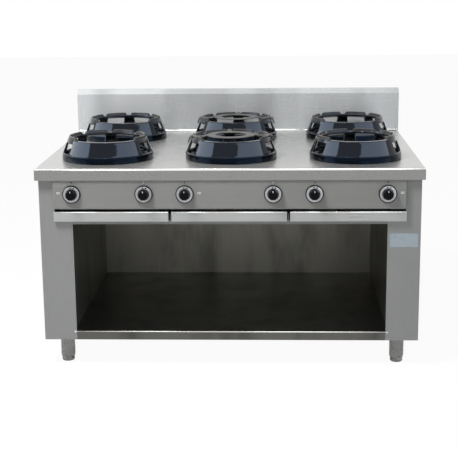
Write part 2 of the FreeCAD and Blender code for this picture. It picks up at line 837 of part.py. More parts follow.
# --------------------------------------------------------------------- drip trays
def make_tray(name, index):
    """A drip tray: a long shallow pan behind a folded front."""
    middle = tray_pitch * index
    half_front = (tray_pitch - dim.tray_seam) / 2
    face = front + dim.tray_face_setback
    rim = column_face - dim.moving_gap * 3
    front_top = tray_front_bottom + dim.tray_front_height
    cover = cut("tray_cover", box("tray_front", (middle - half_front, middle + half_front), (face, rim),
                                  (tray_front_bottom, front_top)),
                [box("tray_front_hollow", (middle - half_front + gauge, middle + half_front - gauge),
                     (face + gauge, rim), (tray_front_bottom + gauge, front_top - gauge))])
    wall = dim.tray_gauge
    half = tray_half_width
    rear = cabinet_back - dim.tray_rear_gap
    pan_top = tray_bottom + dim.tray_height
    pan = cut("tray_pan", box("tray_block", (middle - half, middle + half), (face + gauge, rear),
                              (tray_bottom, pan_top)),
              [box("tray_space", (middle - half + wall, middle + half - wall),
                   (face + gauge + wall, rear - wall), (tray_bottom + wall, pan_top))])
    keep(name, fuse("tray", [cover, pan]))


# ------------------------------------------------------------------------- burners
def make_burner_pattern():
    """A cast burner: open crown, neck, mixing tube, two posts and the pilot lug."""
    drop = -dim.mixing_tube_drop
    rim = dim.crown_radius - dim.crown_rim
    neck = dim.neck_radius
    bore = neck - 10
    crown = turned_piece("crown_casting", [
        (0, drop - neck), (neck - 2, drop - neck), (neck, drop - neck + 3), (neck, -30),
        (dim.crown_radius - 12, -15), (dim.crown_radius, -8), (dim.crown_radius, dim.crown_top),
        (rim, dim.crown_top), (rim, -4), (rim - 10, -9), (bore, -24), (bore, drop - bore),
        (0, drop - bore)])
    length = dim.mixing_tube_length
    post_bottom = dim.burner_rail_top - top
    lug_bottom = -dim.lug_drop - dim.lug_thickness
    reach = dim.pilot_reach
    stock = fuse("burner_stock", [
        crown,
        rod("mixing_tube", "y", dim.mixing_tube_radius, (0, -length, drop), length - neck + 4),
        box("pilot_lug", (-dim.pilot_offset - 10, dim.pilot_offset + 10), (-reach - 12, 8 - neck),
            (lug_bottom, -dim.lug_drop)),
    ] + [rod("burner_post", "z", dim.post_radius, (dim.post_offset * sign, 0, post_bottom),
             -21 - post_bottom) for sign in (-1, 1)])
    window_end = -length + dim.end_wall + 4
    tools = [
        rod("mixing_bore", "y", dim.mixing_tube_bore, (0, -length + dim.end_wall, drop),
            length - dim.end_wall - bore + 4),
        rod("injector_hole", "y", dim.injector_hole, (0, -length, drop), dim.end_wall),
        box("air_window", (-dim.mixing_tube_radius, dim.mixing_tube_radius),
            (window_end, window_end + 16), (drop - 7, drop + 7)),
        rod("probe_line_hole", "z", dim.probe_line_radius + 0.1,
            (-dim.pilot_offset, -reach, lug_bottom), dim.lug_thickness),
        rod("pilot_line_hole", "z", dim.pilot_line_radius + 0.1,
            (dim.pilot_offset, -reach, lug_bottom), dim.lug_thickness),
    ]
    return cut("burner_pattern", stock, tools)


def make_cap_pattern():
    """The burner's cap: a spigot, a low dome, edge ports and a ring of top ports."""
    seat = dim.crown_top
    spigot = dim.crown_radius - dim.crown_rim - 0.5
    crest = seat + dim.cap_thickness
    cap = new_body("cap_pattern")
    sketch = sketch_on(cap, "XZ_Plane")
    draw_outline(sketch, [
        (0, seat - 4), (spigot, seat - 4), (spigot, seat), (dim.crown_radius, seat),
        (dim.crown_radius, seat + 6), (dim.crown_radius - 4, seat + 9),
        (dim.crown_radius * 0.55, crest), (dim.crown_radius * 0.4, crest),
        (dim.crown_radius * 0.3, crest - 5), (0, crest - 5)])
    revolve(cap, sketch)
    slot = sketch_on(cap, "XY_Plane")
    draw_rectangle(slot, (spigot - 6, -dim.port_width / 2), (dim.crown_radius + 3, dim.port_width / 2))
    slot_cut = pocket(cap, slot, seat + 3.5)
    repeat_round(cap, slot, "N_Axis", [slot_cut], PORT_COUNT, 360)
    port = sketch_on(cap, "XY_Plane")
    draw_circle(port, (dim.crown_radius * 0.7, 0), dim.port_width)
    port_cut = pocket(cap, port, crest)
    repeat_round(cap, port, "N_Axis", [port_cut], INNER_PORT_COUNT, 360)
    return cap


def make_bowl_pattern():
    """The spill bowl round a burner, with holes for its pilot, probe and drain."""
    wall = dim.bowl_gauge
    floor = -dim.bowl_depth
    throat = dim.bowl_hole_radius - 1.5
    collar = dim.bowl_collar_radius
    bowl = turned_piece("bowl_sheet", [
        (dim.bowl_flange_radius, 0), (throat, 0), (dim.bowl_floor_radius, floor - wall),
        (collar, floor - wall), (collar, floor + dim.bowl_collar_height),
        (collar + wall, floor + dim.bowl_collar_height), (collar + wall, floor),
        (dim.bowl_floor_radius - wall / 2, floor), (throat - wall / 2, wall),
        (dim.bowl_flange_radius, wall)])
    depth = wall * 4
    low = floor - wall * 2
    return cut("bowl_pattern", bowl, [
        rod("probe_gap", "z", dim.pilot_radius + 3.5, (-dim.pilot_offset, -dim.pilot_reach, low), depth),
        rod("pilot_gap", "z", dim.pilot_radius + 3.5, (dim.pilot_offset, -dim.pilot_reach, low), depth),
        rod("drain", "z", dim.pilot_radius * 2, (0, dim.pilot_reach + 4, low), depth)])


def make_injector_pattern():
    """A brass injector: spigot in the mixing tube's end wall, hexagon and barrel."""
    mouth = -dim.mixing_tube_length
    drop = -dim.mixing_tube_drop
    hexagon_height = dim.injector_length - 6
    hexagon = doc.addObject("Part::Prism", "injector_hexagon")
    hexagon.Polygon = 6
    tie(hexagon, "Circumradius", dim.injector_radius)
    tie(hexagon, "Height", hexagon_height)
    put(hexagon, 0, mouth - hexagon_height, drop, AXIS_TURN["y"])
    spigot = dim.injector_hole - 0.2
    return fuse("injector_pattern", [
        hexagon,
        rod("injector_barrel", "y", dim.injector_hole + 0.5, (0, mouth - dim.injector_length, drop),
            dim.injector_length),
        rod("injector_spigot", "y", spigot, (0, mouth, drop), dim.end_wall * 2)])


def make_feed_pipe(name, x, row, column):
    """The pipe from a tap's outlet to the injector of its burner."""
    level = knob_axis + dim.outlet_rise
    start = panel_face + dim.outlet_depth + dim.outlet_half_length
    end = row + injector_y
    turn_out = end - 62 if name.startswith("rear") else start + 16
    return bent_line("feed_pipe", [
        (x, start, level), (x, turn_out, level), (column, end - 28, level), (column, end, level)],
        dim.feed_pipe_radius, dim.feed_pipe_bend)


def make_thin_line(name, x, row, column, side, radius, end_z):
    """A pilot or probe line from its boss on the tap to the burner's lug."""
    level = knob_axis + dim.thin_line_rise
    start_x = x + dim.boss_offset * side
    start_y = panel_face + dim.boss_depth
    goal_x = column + dim.pilot_offset * side
    goal_y = row - dim.pilot_reach
    turn_in = row + injector_y - 10
    turn_out = turn_in - 150 if name.startswith("rear") else start_y + 30
    return bent_line("thin_line", [
        (start_x, start_y, knob_axis + dim.boss_rise), (start_x, start_y, level),
        (start_x, turn_out, level), (goal_x, turn_in, level), (goal_x, goal_y, level),
        (goal_x, goal_y, end_z)], radius, dim.thin_line_bend)


def make_burners():
    """Burners, caps, bowls, injectors, pipes, pilots and probes for six stations."""
    burner = make_burner_pattern()
    sets = {name: [] for name in ("burner_caps", "burner_bowls", "injectors", "gas_pipes",
                                  "pilot_burners", "thermocouples")}
    shared = {"burner_caps": make_cap_pattern(), "burner_bowls": make_bowl_pattern(),
              "injectors": make_injector_pattern()}
    lug_top = top - dim.lug_drop
    for name, x in KNOBS.items():
        row_name, column_name = name.split("_")
        row, column = row_y[row_name], column_x[column_name]
        keep(f"burner_{name}", copy_of("burner", burner, column, row, top))
        for node, pattern in shared.items():
            sets[node].append(copy_of(node[:-1], pattern, column, row, top))
        sets["gas_pipes"].append(make_feed_pipe(name, x, row, column))
        for node, side, radius, tip_radius, height in (
                ("thermocouples", -1, dim.probe_line_radius, dim.probe_radius, dim.probe_height),
                ("pilot_burners", 1, dim.pilot_line_radius, dim.pilot_radius, dim.pilot_height)):
            at = (column + dim.pilot_offset * side, row - dim.pilot_reach, lug_top)
            sets[node].append(fuse(node[:-1], [
                make_thin_line(name, x, row, column, side, radius, lug_top + 2),
                rod("tip", "z", tip_radius, at, height),
                rod("nut", "z", tip_radius + 2.5, at, 6)]))
    for node, items in sets.items():
        keep(node, group(node + "_set", items))


def make_gas_supply():
    """The manifold along the taps, its run to the back, and the threaded inlet."""
    x, left = inlet_x, -outer_knob - dim.manifold_overhang
    run, fall = inlet_y - manifold_y, knob_axis - inlet_pipe_end
    corner, rear_corner = (x, manifold_y, knob_axis), (x, inlet_y, knob_axis)

    def pipe(name, radius, cap):
        """The three runs and two elbows of the pipe, at one radius."""
        balls = []
        for place in (corner, rear_corner):
            ball = doc.addObject("Part::Sphere", name + "_elbow")
            tie(ball, "Radius", radius)
            balls.append(put(ball, *place))
        return [rod(name + "_along", "x", radius, (left + cap, manifold_y, knob_axis), x - left - cap),
                rod(name + "_back", "y", radius, corner, run),
                rod(name + "_down", "z", radius, (x, inlet_y, inlet_pipe_end), fall)] + balls

    keep("gas_manifold", cut("manifold", fuse("manifold_stock", pipe("pipe", dim.manifold_radius, 0)),
                             pipe("pipe_bore", dim.manifold_bore, 4)))
    hexagon = doc.addObject("Part::Prism", "inlet_hexagon")
    hexagon.Polygon = 6
    tie(hexagon, "Circumradius", dim.inlet_hex_radius)
    tie(hexagon, "Height", dim.inlet_hex_height)
    hexagon_bottom = inlet_pipe_end - dim.inlet_hex_height
    put(hexagon, x, inlet_y, hexagon_bottom)
    thread_bottom = hexagon_bottom - dim.inlet_length
    keep("gas_inlet", cut("inlet_nipple", fuse("inlet_stock", [
        hexagon, rod("inlet_thread", "z", dim.inlet_radius, (x, inlet_y, thread_bottom),
                     dim.inlet_length)]),
        [rod("inlet_bore", "z", dim.inlet_radius - 3, (x, inlet_y, thread_bottom),
             dim.inlet_length + dim.inlet_hex_height)]))


# --------------------------------------------------------- wok rings, pot supports
def cone_radius(height):
    """Outer radius of the ring's cone at a height above its foot."""
    foot = dim.ring_radius - 3.5
    fall = (foot - dim.ring_top_radius) / (dim.ring_height - dim.ring_band - 6.5)
    return foot - fall * (height - dim.ring_band - 2.5)


def make_ring_pattern():
    """A cast wok ring: band, cone with six windows, front shield and raised pads."""
    height = dim.ring_height
    rim_top = dim.ring_top_radius
    wall = dim.ring_wall
    body = new_body("ring_pattern")
    sketch = sketch_on(body, "XZ_Plane")
    draw_outline(sketch, [
        (dim.ring_radius - 20, 0), (dim.ring_radius - 1, 0), (dim.ring_radius, 1),
        (dim.ring_radius, dim.ring_band - 1.5), (dim.ring_radius - 1, dim.ring_band),
        (dim.ring_radius - 3.5, dim.ring_band + 2.5),
        (rim_top, height - 4), (rim_top - 0.8, height - 1.8), (rim_top - 3, height),
        (rim_top - 17, height), (rim_top - 19, height - 1.5), (rim_top - 20, height - 5),
        (rim_top - 19, height - 9), (rim_top - wall, height - 14),
        (dim.ring_radius - wall - 4, 14), (dim.ring_radius - 18, 8), (dim.ring_radius - 20, 6)])
    revolve(body, sketch)
    window = sketch_on(body, "YZ_Plane")
    half = dim.window_width / 2
    draw_outline(window, [(-half, dim.window_bottom + 4), (4 - half, dim.window_bottom),
                          (half - 4, dim.window_bottom), (half, dim.window_bottom + 4),
                          (half, dim.window_top - 4), (half - 4, dim.window_top),
                          (4 - half, dim.window_top), (-half, dim.window_top - 4)])
    opening = pocket(body, window, dim.ring_radius)
    span = (OPEN_SECTORS - 1) * 360 / RING_SECTORS
    repeat_round(body, sketch, "V_Axis", [opening], OPEN_SECTORS, span)
    pad = sketch_on(body, "XZ_Plane")
    pad_top = height + dim.pad_height
    draw_outline(pad, [
        (rim_top - 16.5, height - 2), (rim_top - 3.5, height - 2), (rim_top - 3.5, height + 2),
        (rim_top - 5, pad_top - 2.5), (rim_top - 7, pad_top - 0.7), (rim_top - 9, pad_top),
        (rim_top - 12, pad_top), (rim_top - 14, pad_top - 0.7), (rim_top - 15.5, pad_top - 2.5),
        (rim_top - 16.5, height + 2)])
    raised = revolve(body, pad, dim.pad_angle)
    repeat_round(body, pad, "V_Axis", [raised], OPEN_SECTORS, span)
    return body


def make_support_pattern():
    """A cast pot support: a raised hub and three arms that hook over a ring's rim."""
    low = support_bottom
    arm_high = low + dim.support_thickness
    hub_low = low + dim.support_rise
    hub_high = hub_low + dim.support_thickness
    hub_edge = dim.support_hub_radius
    half_arm = dim.support_arm_width / 2
    half_finger = dim.support_finger_width / 2
    hub = cut("support_hub", rod("hub_disc", "z", hub_edge, (0, 0, hub_low), dim.support_thickness),
              [rod("hub_hole", "z", dim.support_hole_radius, (0, 0, hub_low),
                   dim.support_thickness)])
    hook_end = 62
    rim_top = dim.ring_top_radius
    gap = dim.moving_gap * 4
    arm = new_body("support_arm")
    side_view = sketch_on(arm, "XZ_Plane")
    draw_outline(side_view, [
        (hub_edge - 6, hub_low), (hub_edge + 1, hub_low), (hub_edge + 14, low),
        (rim_top - 1.5 + gap, low), (rim_top + gap + 0.3, low - 3),
        (cone_radius(hook_end) + gap, hook_end), (cone_radius(hook_end) + gap + 6, hook_end),
        (cone_radius(hook_end) + gap + 7.5, hook_end + 2), (rim_top + 8, hub_high - 6),
        (rim_top + 5, hub_high - 1.5), (rim_top + 1, hub_high), (rim_top - 19, hub_high),
        (rim_top - 23, hub_high - 3), (rim_top - 26, arm_high), (hub_edge + 15, arm_high),
        (hub_edge + 2, hub_high), (hub_edge - 6, hub_high)])
    extrude(arm, side_view, dim.support_arm_width, symmetric=True)
    for sign in (-1, 1):
        flank = sketch_on(arm, "XY_Plane")
        draw_outline(flank, [
            (hub_edge + 5, (half_arm + 2) * sign), (hub_edge + 5, half_arm * sign),
            (hub_edge + 20, half_finger * sign), (rim_top + 30, half_finger * sign),
            (rim_top + 30, (half_arm + 2) * sign)])
        pocket(arm, flank, hub_high + 10)
    arms = [copy_of("support_arm", arm, 0, 0, 0, Rotation(Vector(0, 0, 1), angle))
            for angle in (0, 90, 180)]
    return fuse("support_pattern", [hub] + arms)


def make_rings():
    """Six loose wok rings, and a pot support on each ring of the middle column."""
    ring = make_ring_pattern()
    support = make_support_pattern()
    upright = Vector(0, 0, 1)
    half_sector = 180 / RING_SECTORS
    for name in STATIONS:
        row, column = name.split("_")
        turn = RING_TURNS[name]
        keep(f"wok_ring_{name}", copy_of("wok_ring", ring, column_x[column], row_y[row], ring_bottom,
                                         Rotation(upright, turn - half_sector)))
        if name in SUPPORTED_RINGS:
            keep(f"pot_support_{name}", copy_of("pot_support", support, column_x[column], row_y[row],
                                                ring_bottom, Rotation(upright, turn)))


# ------------------------------------------------------------------ build and write
def build():
    """Make every sub-part of the range."""
    make_worktop()
    make_backsplash()
    for side in ("left", "right"):
        make_side(side)
        make_lining(side)
    make_cabinet_back()
    make_rear_panel()
    make_base_shelf()
    make_control_panel()
    make_lower_rail()
    make_burner_rails()
    make_tray_runners()
    make_rating_plate()
    make_screws()
    make_legs()
    make_controls()
    for index, name in zip((-1, 0, 1), ("left", "centre", "right")):
        make_tray(f"drip_tray_{name}", index)
    make_burners()
    make_gas_supply()
    make_rings()
    doc.recompute()


def check():
    """Stop if any object failed or any sub-part's shape is empty or broken."""
    for item in doc.Objects:
        if "Invalid" in item.State or "Error" in item.State:
            raise RuntimeError(f"{item.Label} did not compute: {item.State}")
    for item in finished:
        if item.Shape.isNull() or not item.Shape.isValid() or not item.Shape.Solids:
            raise RuntimeError(f"{item.Label} has no sound solid")


def write():
    """Write one STEP file for each sub-part, under its label."""
    os.makedirs("parts", exist_ok=True)
    for item in finished:
        item.Shape.exportStep(f"parts/{item.Label}.step")
        print(f"{item.Label}: {len(item.Shape.Solids)} solid(s), "
              f"{sum(solid.Volume for solid in item.Shape.Solids) / 1000:.1f} cm3")


build()
check()
write()
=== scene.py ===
"""The wok range dressed for its picture: finishes, cast rings, supports, knobs and studio."""

import json
import logging
import math
from dataclasses import dataclass, field, replace
from enum import Enum
from typing import ClassVar, Mapping, Sequence, Union

import bmesh
import bpy
from mathutils import Matrix, Vector

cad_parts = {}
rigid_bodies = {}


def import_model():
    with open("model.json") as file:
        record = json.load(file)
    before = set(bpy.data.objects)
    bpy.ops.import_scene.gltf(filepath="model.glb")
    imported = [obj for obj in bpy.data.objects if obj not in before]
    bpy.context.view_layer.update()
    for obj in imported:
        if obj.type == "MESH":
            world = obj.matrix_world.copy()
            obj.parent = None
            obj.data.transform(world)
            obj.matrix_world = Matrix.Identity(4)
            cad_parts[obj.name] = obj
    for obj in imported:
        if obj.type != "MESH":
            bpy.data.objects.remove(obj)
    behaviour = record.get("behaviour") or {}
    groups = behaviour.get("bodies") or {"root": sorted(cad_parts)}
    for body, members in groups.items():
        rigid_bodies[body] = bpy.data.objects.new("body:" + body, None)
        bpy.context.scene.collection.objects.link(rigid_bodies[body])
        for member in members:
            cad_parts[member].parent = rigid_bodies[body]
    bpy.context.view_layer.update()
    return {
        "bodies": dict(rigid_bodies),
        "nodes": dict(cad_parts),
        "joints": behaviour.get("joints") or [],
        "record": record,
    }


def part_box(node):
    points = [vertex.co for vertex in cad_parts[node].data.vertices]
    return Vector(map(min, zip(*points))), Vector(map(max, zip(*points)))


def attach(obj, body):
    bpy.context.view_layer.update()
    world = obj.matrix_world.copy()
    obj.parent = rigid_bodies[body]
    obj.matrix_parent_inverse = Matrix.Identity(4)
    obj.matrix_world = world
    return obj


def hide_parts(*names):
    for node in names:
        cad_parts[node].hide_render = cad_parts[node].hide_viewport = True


log = logging.getLogger("wok_range")

Colour = tuple[float, float, float]
Point = tuple[float, float, float]
Flat = tuple[float, float]
Given = Union["Value", float, int, tuple, None]
Inputs = Mapping[str, Given]

BODY = "range"
STATIONS = ("front_left", "rear_left", "front_centre", "rear_centre", "front_right", "rear_right")
WHITE = (1.0, 1.0, 1.0)
IDENTITY = Matrix.Identity(4)


# ---- shader workbench
class Value:
    """A shader socket that takes part in Python sums."""

    def __init__(self, bench: "Bench", socket: bpy.types.NodeSocket) -> None:
        """Keep the socket and the bench that it belongs to."""
        self.bench = bench
        self.socket = socket

    def _sum(self, operation: str, left: Given, right: Given) -> "Value":
        """One Math node on two operands."""
        return self.bench.add("ShaderNodeMath", {"operation": operation}, {0: left, 1: right})

    def __add__(self, other: Given) -> "Value":
        """Value + other."""
        return self._sum("ADD", self, other)

    def __radd__(self, other: Given) -> "Value":
        """Other + value."""
        return self._sum("ADD", other, self)

    def __sub__(self, other: Given) -> "Value":
        """Value - other."""
        return self._sum("SUBTRACT", self, other)

    def __rsub__(self, other: Given) -> "Value":
        """Other - value."""
        return self._sum("SUBTRACT", other, self)

    def __mul__(self, other: Given) -> "Value":
        """Value * other."""
        return self._sum("MULTIPLY", self, other)

    def __rmul__(self, other: Given) -> "Value":
        """Other * value."""
        return self._sum("MULTIPLY", other, self)

    def clipped(self) -> "Value":
        """The value held between 0 and 1."""
        return self.bench.add("ShaderNodeClamp", None, {0: self})

    def larger(self, other: Given) -> "Value":
        """The larger of this value and another."""
        return self._sum("MAXIMUM", self, other)

    def step(self, low: float, high: float) -> "Value":
        """A smooth rise from 0 at low to 1 at high.

        Args:
            low: The value that gives 0.
            high: The value that gives 1.

        Returns:
            The eased value.
        """
        settings = {"interpolation_type": "SMOOTHSTEP"}
        return self.bench.add("ShaderNodeMapRange", settings, {0: self, 1: low, 2: high})


class Bench:
    """One node tree, and the one way that nodes are added to it."""

    def __init__(self, tree: bpy.types.NodeTree) -> None:
        """Start with an empty tree."""
        self.tree = tree
        tree.nodes.clear()

    def add(self, kind: str, settings: Mapping[str, object] | None = None,
            inputs: Mapping[int | str, Given] | None = None, output: int | str = 0) -> Value:
        """Add a node, set it up and feed its sockets.

        Args:
            kind: The node's type name.
            settings: Properties of the node, which are set first.
            inputs: Values or links by socket name, identifier or index.
            output: The socket that the result is read from.

        Returns:
            The chosen output.
        """
        node = self.tree.nodes.new(kind)
        for key, setting in (settings or {}).items():
            setattr(node, key, setting)
        for key, given in (inputs or {}).items():
            if given is None:
                continue
            socket = self._find(node.inputs, key)
            if isinstance(given, Value):
                self.tree.links.new(given.socket, socket)
            elif isinstance(given, tuple) and len(given) == 3 and socket.type == "RGBA":
                socket.default_value = (*given, 1.0)
            else:
                socket.default_value = given
        return Value(self, self._find(node.outputs, output) if len(node.outputs) else None)

    @staticmethod
    def _find(sockets: Sequence[bpy.types.NodeSocket], key: int | str) -> bpy.types.NodeSocket:
        """Find a socket.

        Args:
            sockets: A node's inputs or outputs.
            key: The socket's index, identifier or name.

        Returns:
            The socket.
        """
        if isinstance(key, int):
            return sockets[key]
        for socket in sockets:
            if socket.identifier == key:
                return socket
        return next(socket for socket in sockets if socket.name == key and socket.enabled)

    def place(self) -> Value:
        """Places on the piece, in metres."""
        return self.add("ShaderNodeTexCoord", output="Object")

    def facing_up(self) -> Value:
        """How far a face of a standing piece looks up: 1 for level, 0 for upright."""
        normal = self.add("ShaderNodeNewGeometry", output="True Normal")
        return self.add("ShaderNodeSeparateXYZ", None, {0: normal}, 2)

    def stretched(self, place: Value, scale: Point) -> Value:
        """Places scaled along each axis."""
        return self.add("ShaderNodeVectorMath", {"operation": "MULTIPLY"}, {0: place, 1: scale})

    def noise(self, place: Value, scale: float = 1.0, detail: float = 2.0,
              roughness: float = 0.5) -> Value:
        """Soft noise between 0 and 1."""
        return self.add("ShaderNodeTexNoise", None, {"Vector": place, "Scale": scale,
                                                     "Detail": detail, "Roughness": roughness})

    def blend(self, share: Given, low: Given, high: Given, kind: str = "MIX") -> Value:
        """Mix two colours.

        Args:
            share: How much of the second colour shows.
            low: The first colour.
            high: The second colour.
            kind: The way that they are mixed.

        Returns:
            The mixed colour.
        """
        settings = {"data_type": "RGBA", "blend_type": kind, "clamp_factor": True}
        return self.add("ShaderNodeMix", settings,
                        {"Factor_Float": share, "A_Color": low, "B_Color": high}, "Result_Color")

    def dents(self, height: Value, depth: float, under: Value | None = None) -> Value:
        """A bumped normal of a given depth in metres, over another normal or none."""
        return self.add("ShaderNodeBump", None, {"Strength": 1.0, "Distance": depth,
                                                 "Height": height, "Normal": under})


class Grain(Enum):
    """The way that a surface's fine lines run: lines per metre along X, Y and Z."""

    ALONG_X = (2.2, 260.0, 260.0)
    ALONG_Z = (260.0, 260.0, 2.2)
    NONE = (70.0, 70.0, 70.0)


def scaled(parts: Point, share: float) -> Point:
    """A colour or a grain with each of its parts multiplied by one share."""
    return tuple(part * share for part in parts)


# ---- finishes
class Finish:
    """A finish, whose material is made once, when it is first asked for."""

    made: ClassVar[dict[str, bpy.types.Material]] = {}
    name: str

    def surface(self, bench: Bench, place: Value) -> Inputs:
        """Mix the finish.

        Args:
            bench: The bench for its nodes.
            place: Places on the piece, in metres.

        Returns:
            The inputs of its shader.
        """
        raise NotImplementedError

    def material(self) -> bpy.types.Material:
        """Hand out the finish's material.

        Returns:
            The one material of this name.
        """
        if self.name not in self.made:
            material = bpy.data.materials.new(self.name)
            material.use_nodes = True
            bench = Bench(material.node_tree)
            inputs = self.surface(bench, bench.place())
            shader = bench.add("ShaderNodeBsdfPrincipled", None, inputs)
            bench.add("ShaderNodeOutputMaterial", None, {"Surface": shader})
            self.made[self.name] = material
        return self.made[self.name]


@dataclass(frozen=True)
class BrushedSteel(Finish):
    """Stainless sheet with a fine one-way grain, soft cloudy patches, handling marks and, where
    asked, painted shade on its upright faces.
    """

    name: str
    colour: Colour
    grain: Grain = Grain.ALONG_X
    roughness: float = 0.34
    streaks: float = 0.10
    clouds: float = 0.10
    grime: float = 0.0
    bands: float = 0.0
    upright_painted_shade: float = 1.0
    metal: float = 1.0
    relief: float = 0.000045
    waviness: float = 0.0011
    tone_range: float = 0.14
    dirt_tone: float = 0.35
    finer: float = 3.1

    def surface(self, bench: Bench, place: Value) -> Inputs:
        """Mix the finish, as in Finish."""
        lines = bench.noise(bench.stretched(place, self.grain.value), detail=3.0, roughness=0.65)
        thin = scaled(self.grain.value, self.finer)
        fine = bench.noise(bench.stretched(place, thin), detail=1.0)
        patches = bench.noise(place, 2.6, 3.0, 0.55)
        smears = bench.noise(bench.stretched(place, (7.0, 7.0, 2.5)), detail=4.0, roughness=0.6)
        tone = 0.5 + (lines - 0.5) * (self.streaks * 5.0) + (patches - 0.5) * (self.clouds * 6.0)
        if self.bands:
            upright = bench.noise(bench.stretched(place, (5.0, 0.6, 0.5)), detail=1.0)
            tone = tone + (upright - 0.5) * (self.bands * 6.0)
        tone = tone.clipped()
        colour = bench.blend(tone, scaled(self.colour, 1.0 - self.tone_range),
                             scaled(self.colour, 1.0 + self.tone_range))
        if self.grime:
            dirt = (smears.step(0.42, 0.75) * self.grime).clipped()
            colour = bench.blend(dirt, colour, scaled(self.colour, self.dirt_tone))
        # painted shade: upright faces are multiplied by this share, so they look darker than the
        # level faces of the same sheet
        if self.upright_painted_shade != 1.0:
            colour = bench.blend(1.0 - bench.facing_up().step(0.05, 0.35), colour,
                                 (self.upright_painted_shade,) * 3, "MULTIPLY")
        rough = (self.roughness + (fine - 0.5) * (self.streaks * 1.6) + (smears - 0.5) * 0.14
                 + (patches - 0.5) * 0.10).clipped()
        normal = bench.dents(lines * 0.6 + fine * 0.4, self.relief)
        normal = bench.dents(bench.noise(place, 3.2, 1.0), self.waviness, normal)
        return {"Base Color": colour, "Metallic": self.metal, "Roughness": rough,
                "Normal": normal}


@dataclass(frozen=True)
class GlossEnamel(Finish):
    """Thick gloss enamel on a casting: slightly wavy, with dust, a few dull spots, a painted blue
    reflection tint and lip tops that are part worn, part painted sheen.
    """

    name: str
    colour: Colour
    # colour of the lip and pad tops: part wear, part painted sheen
    worn_and_sheen: Colour = (0.041, 0.037, 0.031)
    roughness: float = 0.05
    specular: float = 0.16
    # painted reflection: a blue tint on every reflection in the enamel, standing for a blue sky
    painted_reflection_tint: Colour = (0.26, 0.52, 1.0)
    glaze: float = 0.335
    foot: float = 0.0
    band_height: float = 0.0262
    lip_height: float = 0.0835
    dust_colour: Colour = (0.10, 0.095, 0.09)
    orange_peel: float = 0.00003
    waviness: float = 0.0007

    def surface(self, bench: Bench, place: Value) -> Inputs:
        """Mix the finish, as in Finish."""
        wave = bench.noise(place, 16.0, 1.0)
        peel = bench.noise(place, 260.0, 2.0)
        dust = bench.noise(place, 900.0, 2.0, 0.7).step(0.66, 0.78)
        dull = bench.noise(place, 34.0, 4.0, 0.65).step(0.50, 0.78)
        height = bench.add("ShaderNodeSeparateXYZ", None, {0: place}, 2) - self.foot
        above_band = height.step(self.band_height - 0.0006, self.band_height + 0.0004)
        # the lip and pad tops are lightened in rubbed patches: part real wear, part painted sheen
        # of the sky on them
        rubbed = bench.noise(place, 60.0, 4.0, 0.65).step(0.36, 0.60)
        lip = height.step(self.lip_height, self.lip_height + 0.0012) * (rubbed * 0.5 + 0.5)
        colour = bench.blend(dust * 0.25, self.colour, self.dust_colour)
        colour = bench.blend(lip, colour, self.worn_and_sheen)
        rough = (self.roughness + dull * 0.10 + dust * 0.25 + lip * 0.20).clipped()
        normal = bench.dents(peel, self.orange_peel, bench.dents(wave, self.waviness))
        return {"Base Color": colour, "Roughness": rough, "Normal": normal,
                "Specular IOR Level": self.specular,
                "Specular Tint": self.painted_reflection_tint,
                "Coat Weight": above_band * (1.0 - lip) * self.glaze,
                "Coat Roughness": 0.05}


@dataclass(frozen=True)
class RawCasting(Finish):
    """Sand-cast iron: pitted, matt, with heat colours in patches."""

    name: str
    colour: Colour
    burnt: Colour
    roughness: float = 0.62
    metal: float = 0.25
    pits: float = 0.0004

    def surface(self, bench: Bench, place: Value) -> Inputs:
        """Mix the finish, as in Finish."""
        sand = bench.noise(place, 420.0, 3.0, 0.7)
        lumps = bench.noise(place, 55.0, 3.0, 0.6)
        heat = bench.noise(place, 19.0, 3.0, 0.6).step(0.40, 0.66)
        colour = bench.blend(heat, self.colour, self.burnt)
        colour = bench.blend(sand.step(0.30, 0.62), scaled(self.burnt, 0.7), colour)
        rough = (self.roughness + (lumps - 0.5) * 0.3).clipped()
        normal = bench.dents(sand * 0.5 + lumps * 0.5, self.pits)
        return {"Base Color": colour, "Roughness": rough, "Metallic": self.metal,
                "Normal": normal}


@dataclass(frozen=True)
class TurnedMetal(Finish):
    """Turned or drawn metal with fine lines round or along it, and a thin tarnish."""

    name: str
    colour: Colour
    tarnish: Colour
    grain: Grain = Grain.NONE
    roughness: float = 0.30
    metal: float = 1.0
    relief: float = 0.00004

    def surface(self, bench: Bench, place: Value) -> Inputs:
        """Mix the finish, as in Finish."""
        lines = bench.noise(bench.stretched(place, self.grain.value), 1.0, 3.0, 0.6)
        film = bench.noise(place, 24.0, 4.0, 0.6).step(0.42, 0.72)
        colour = bench.blend(film * 0.7 + lines * 0.3, self.colour, self.tarnish)
        rough = (self.roughness + film * 0.18 + (lines - 0.5) * 0.12).clipped()
        return {"Base Color": colour, "Metallic": self.metal, "Roughness": rough,
                "Normal": bench.dents(lines, self.relief)}


@dataclass(frozen=True)
class MouldedPlastic(Finish):
    """Black moulded plastic with a fine spark-eroded texture and rubbed spots."""

    name: str
    colour: Colour
    roughness: float = 0.34
    specular: float = 0.35
    relief: float = 0.00002

    def surface(self, bench: Bench, place: Value) -> Inputs:
        """Mix the finish, as in Finish."""
        spark = bench.noise(place, 1500.0, 2.0)
        rubbed = bench.noise(place, 90.0, 3.0).step(0.45, 0.72)
        colour = bench.blend(rubbed * 0.5, self.colour, scaled(self.colour, 2.2))
        rough = (self.roughness + (spark - 0.5) * 0.2 - rubbed * 0.10).clipped()
        return {"Base Color": colour, "Roughness": rough,
                "Normal": bench.dents(spark, self.relief),
                "Specular IOR Level": self.specular}


@dataclass(frozen=True)
class PrintedMark(Finish):
    """Flat printing ink with a faint wear."""

    name: str
    colour: Colour

    def surface(self, bench: Bench, place: Value) -> Inputs:
        """Mix the finish, as in Finish."""
        wear = bench.noise(place, 700.0, 3.0, 0.6)
        colour = bench.blend(wear.step(0.35, 0.75), scaled(self.colour, 0.8), self.colour)
        return {"Base Color": colour, "Roughness": 0.42 + wear * 0.2}
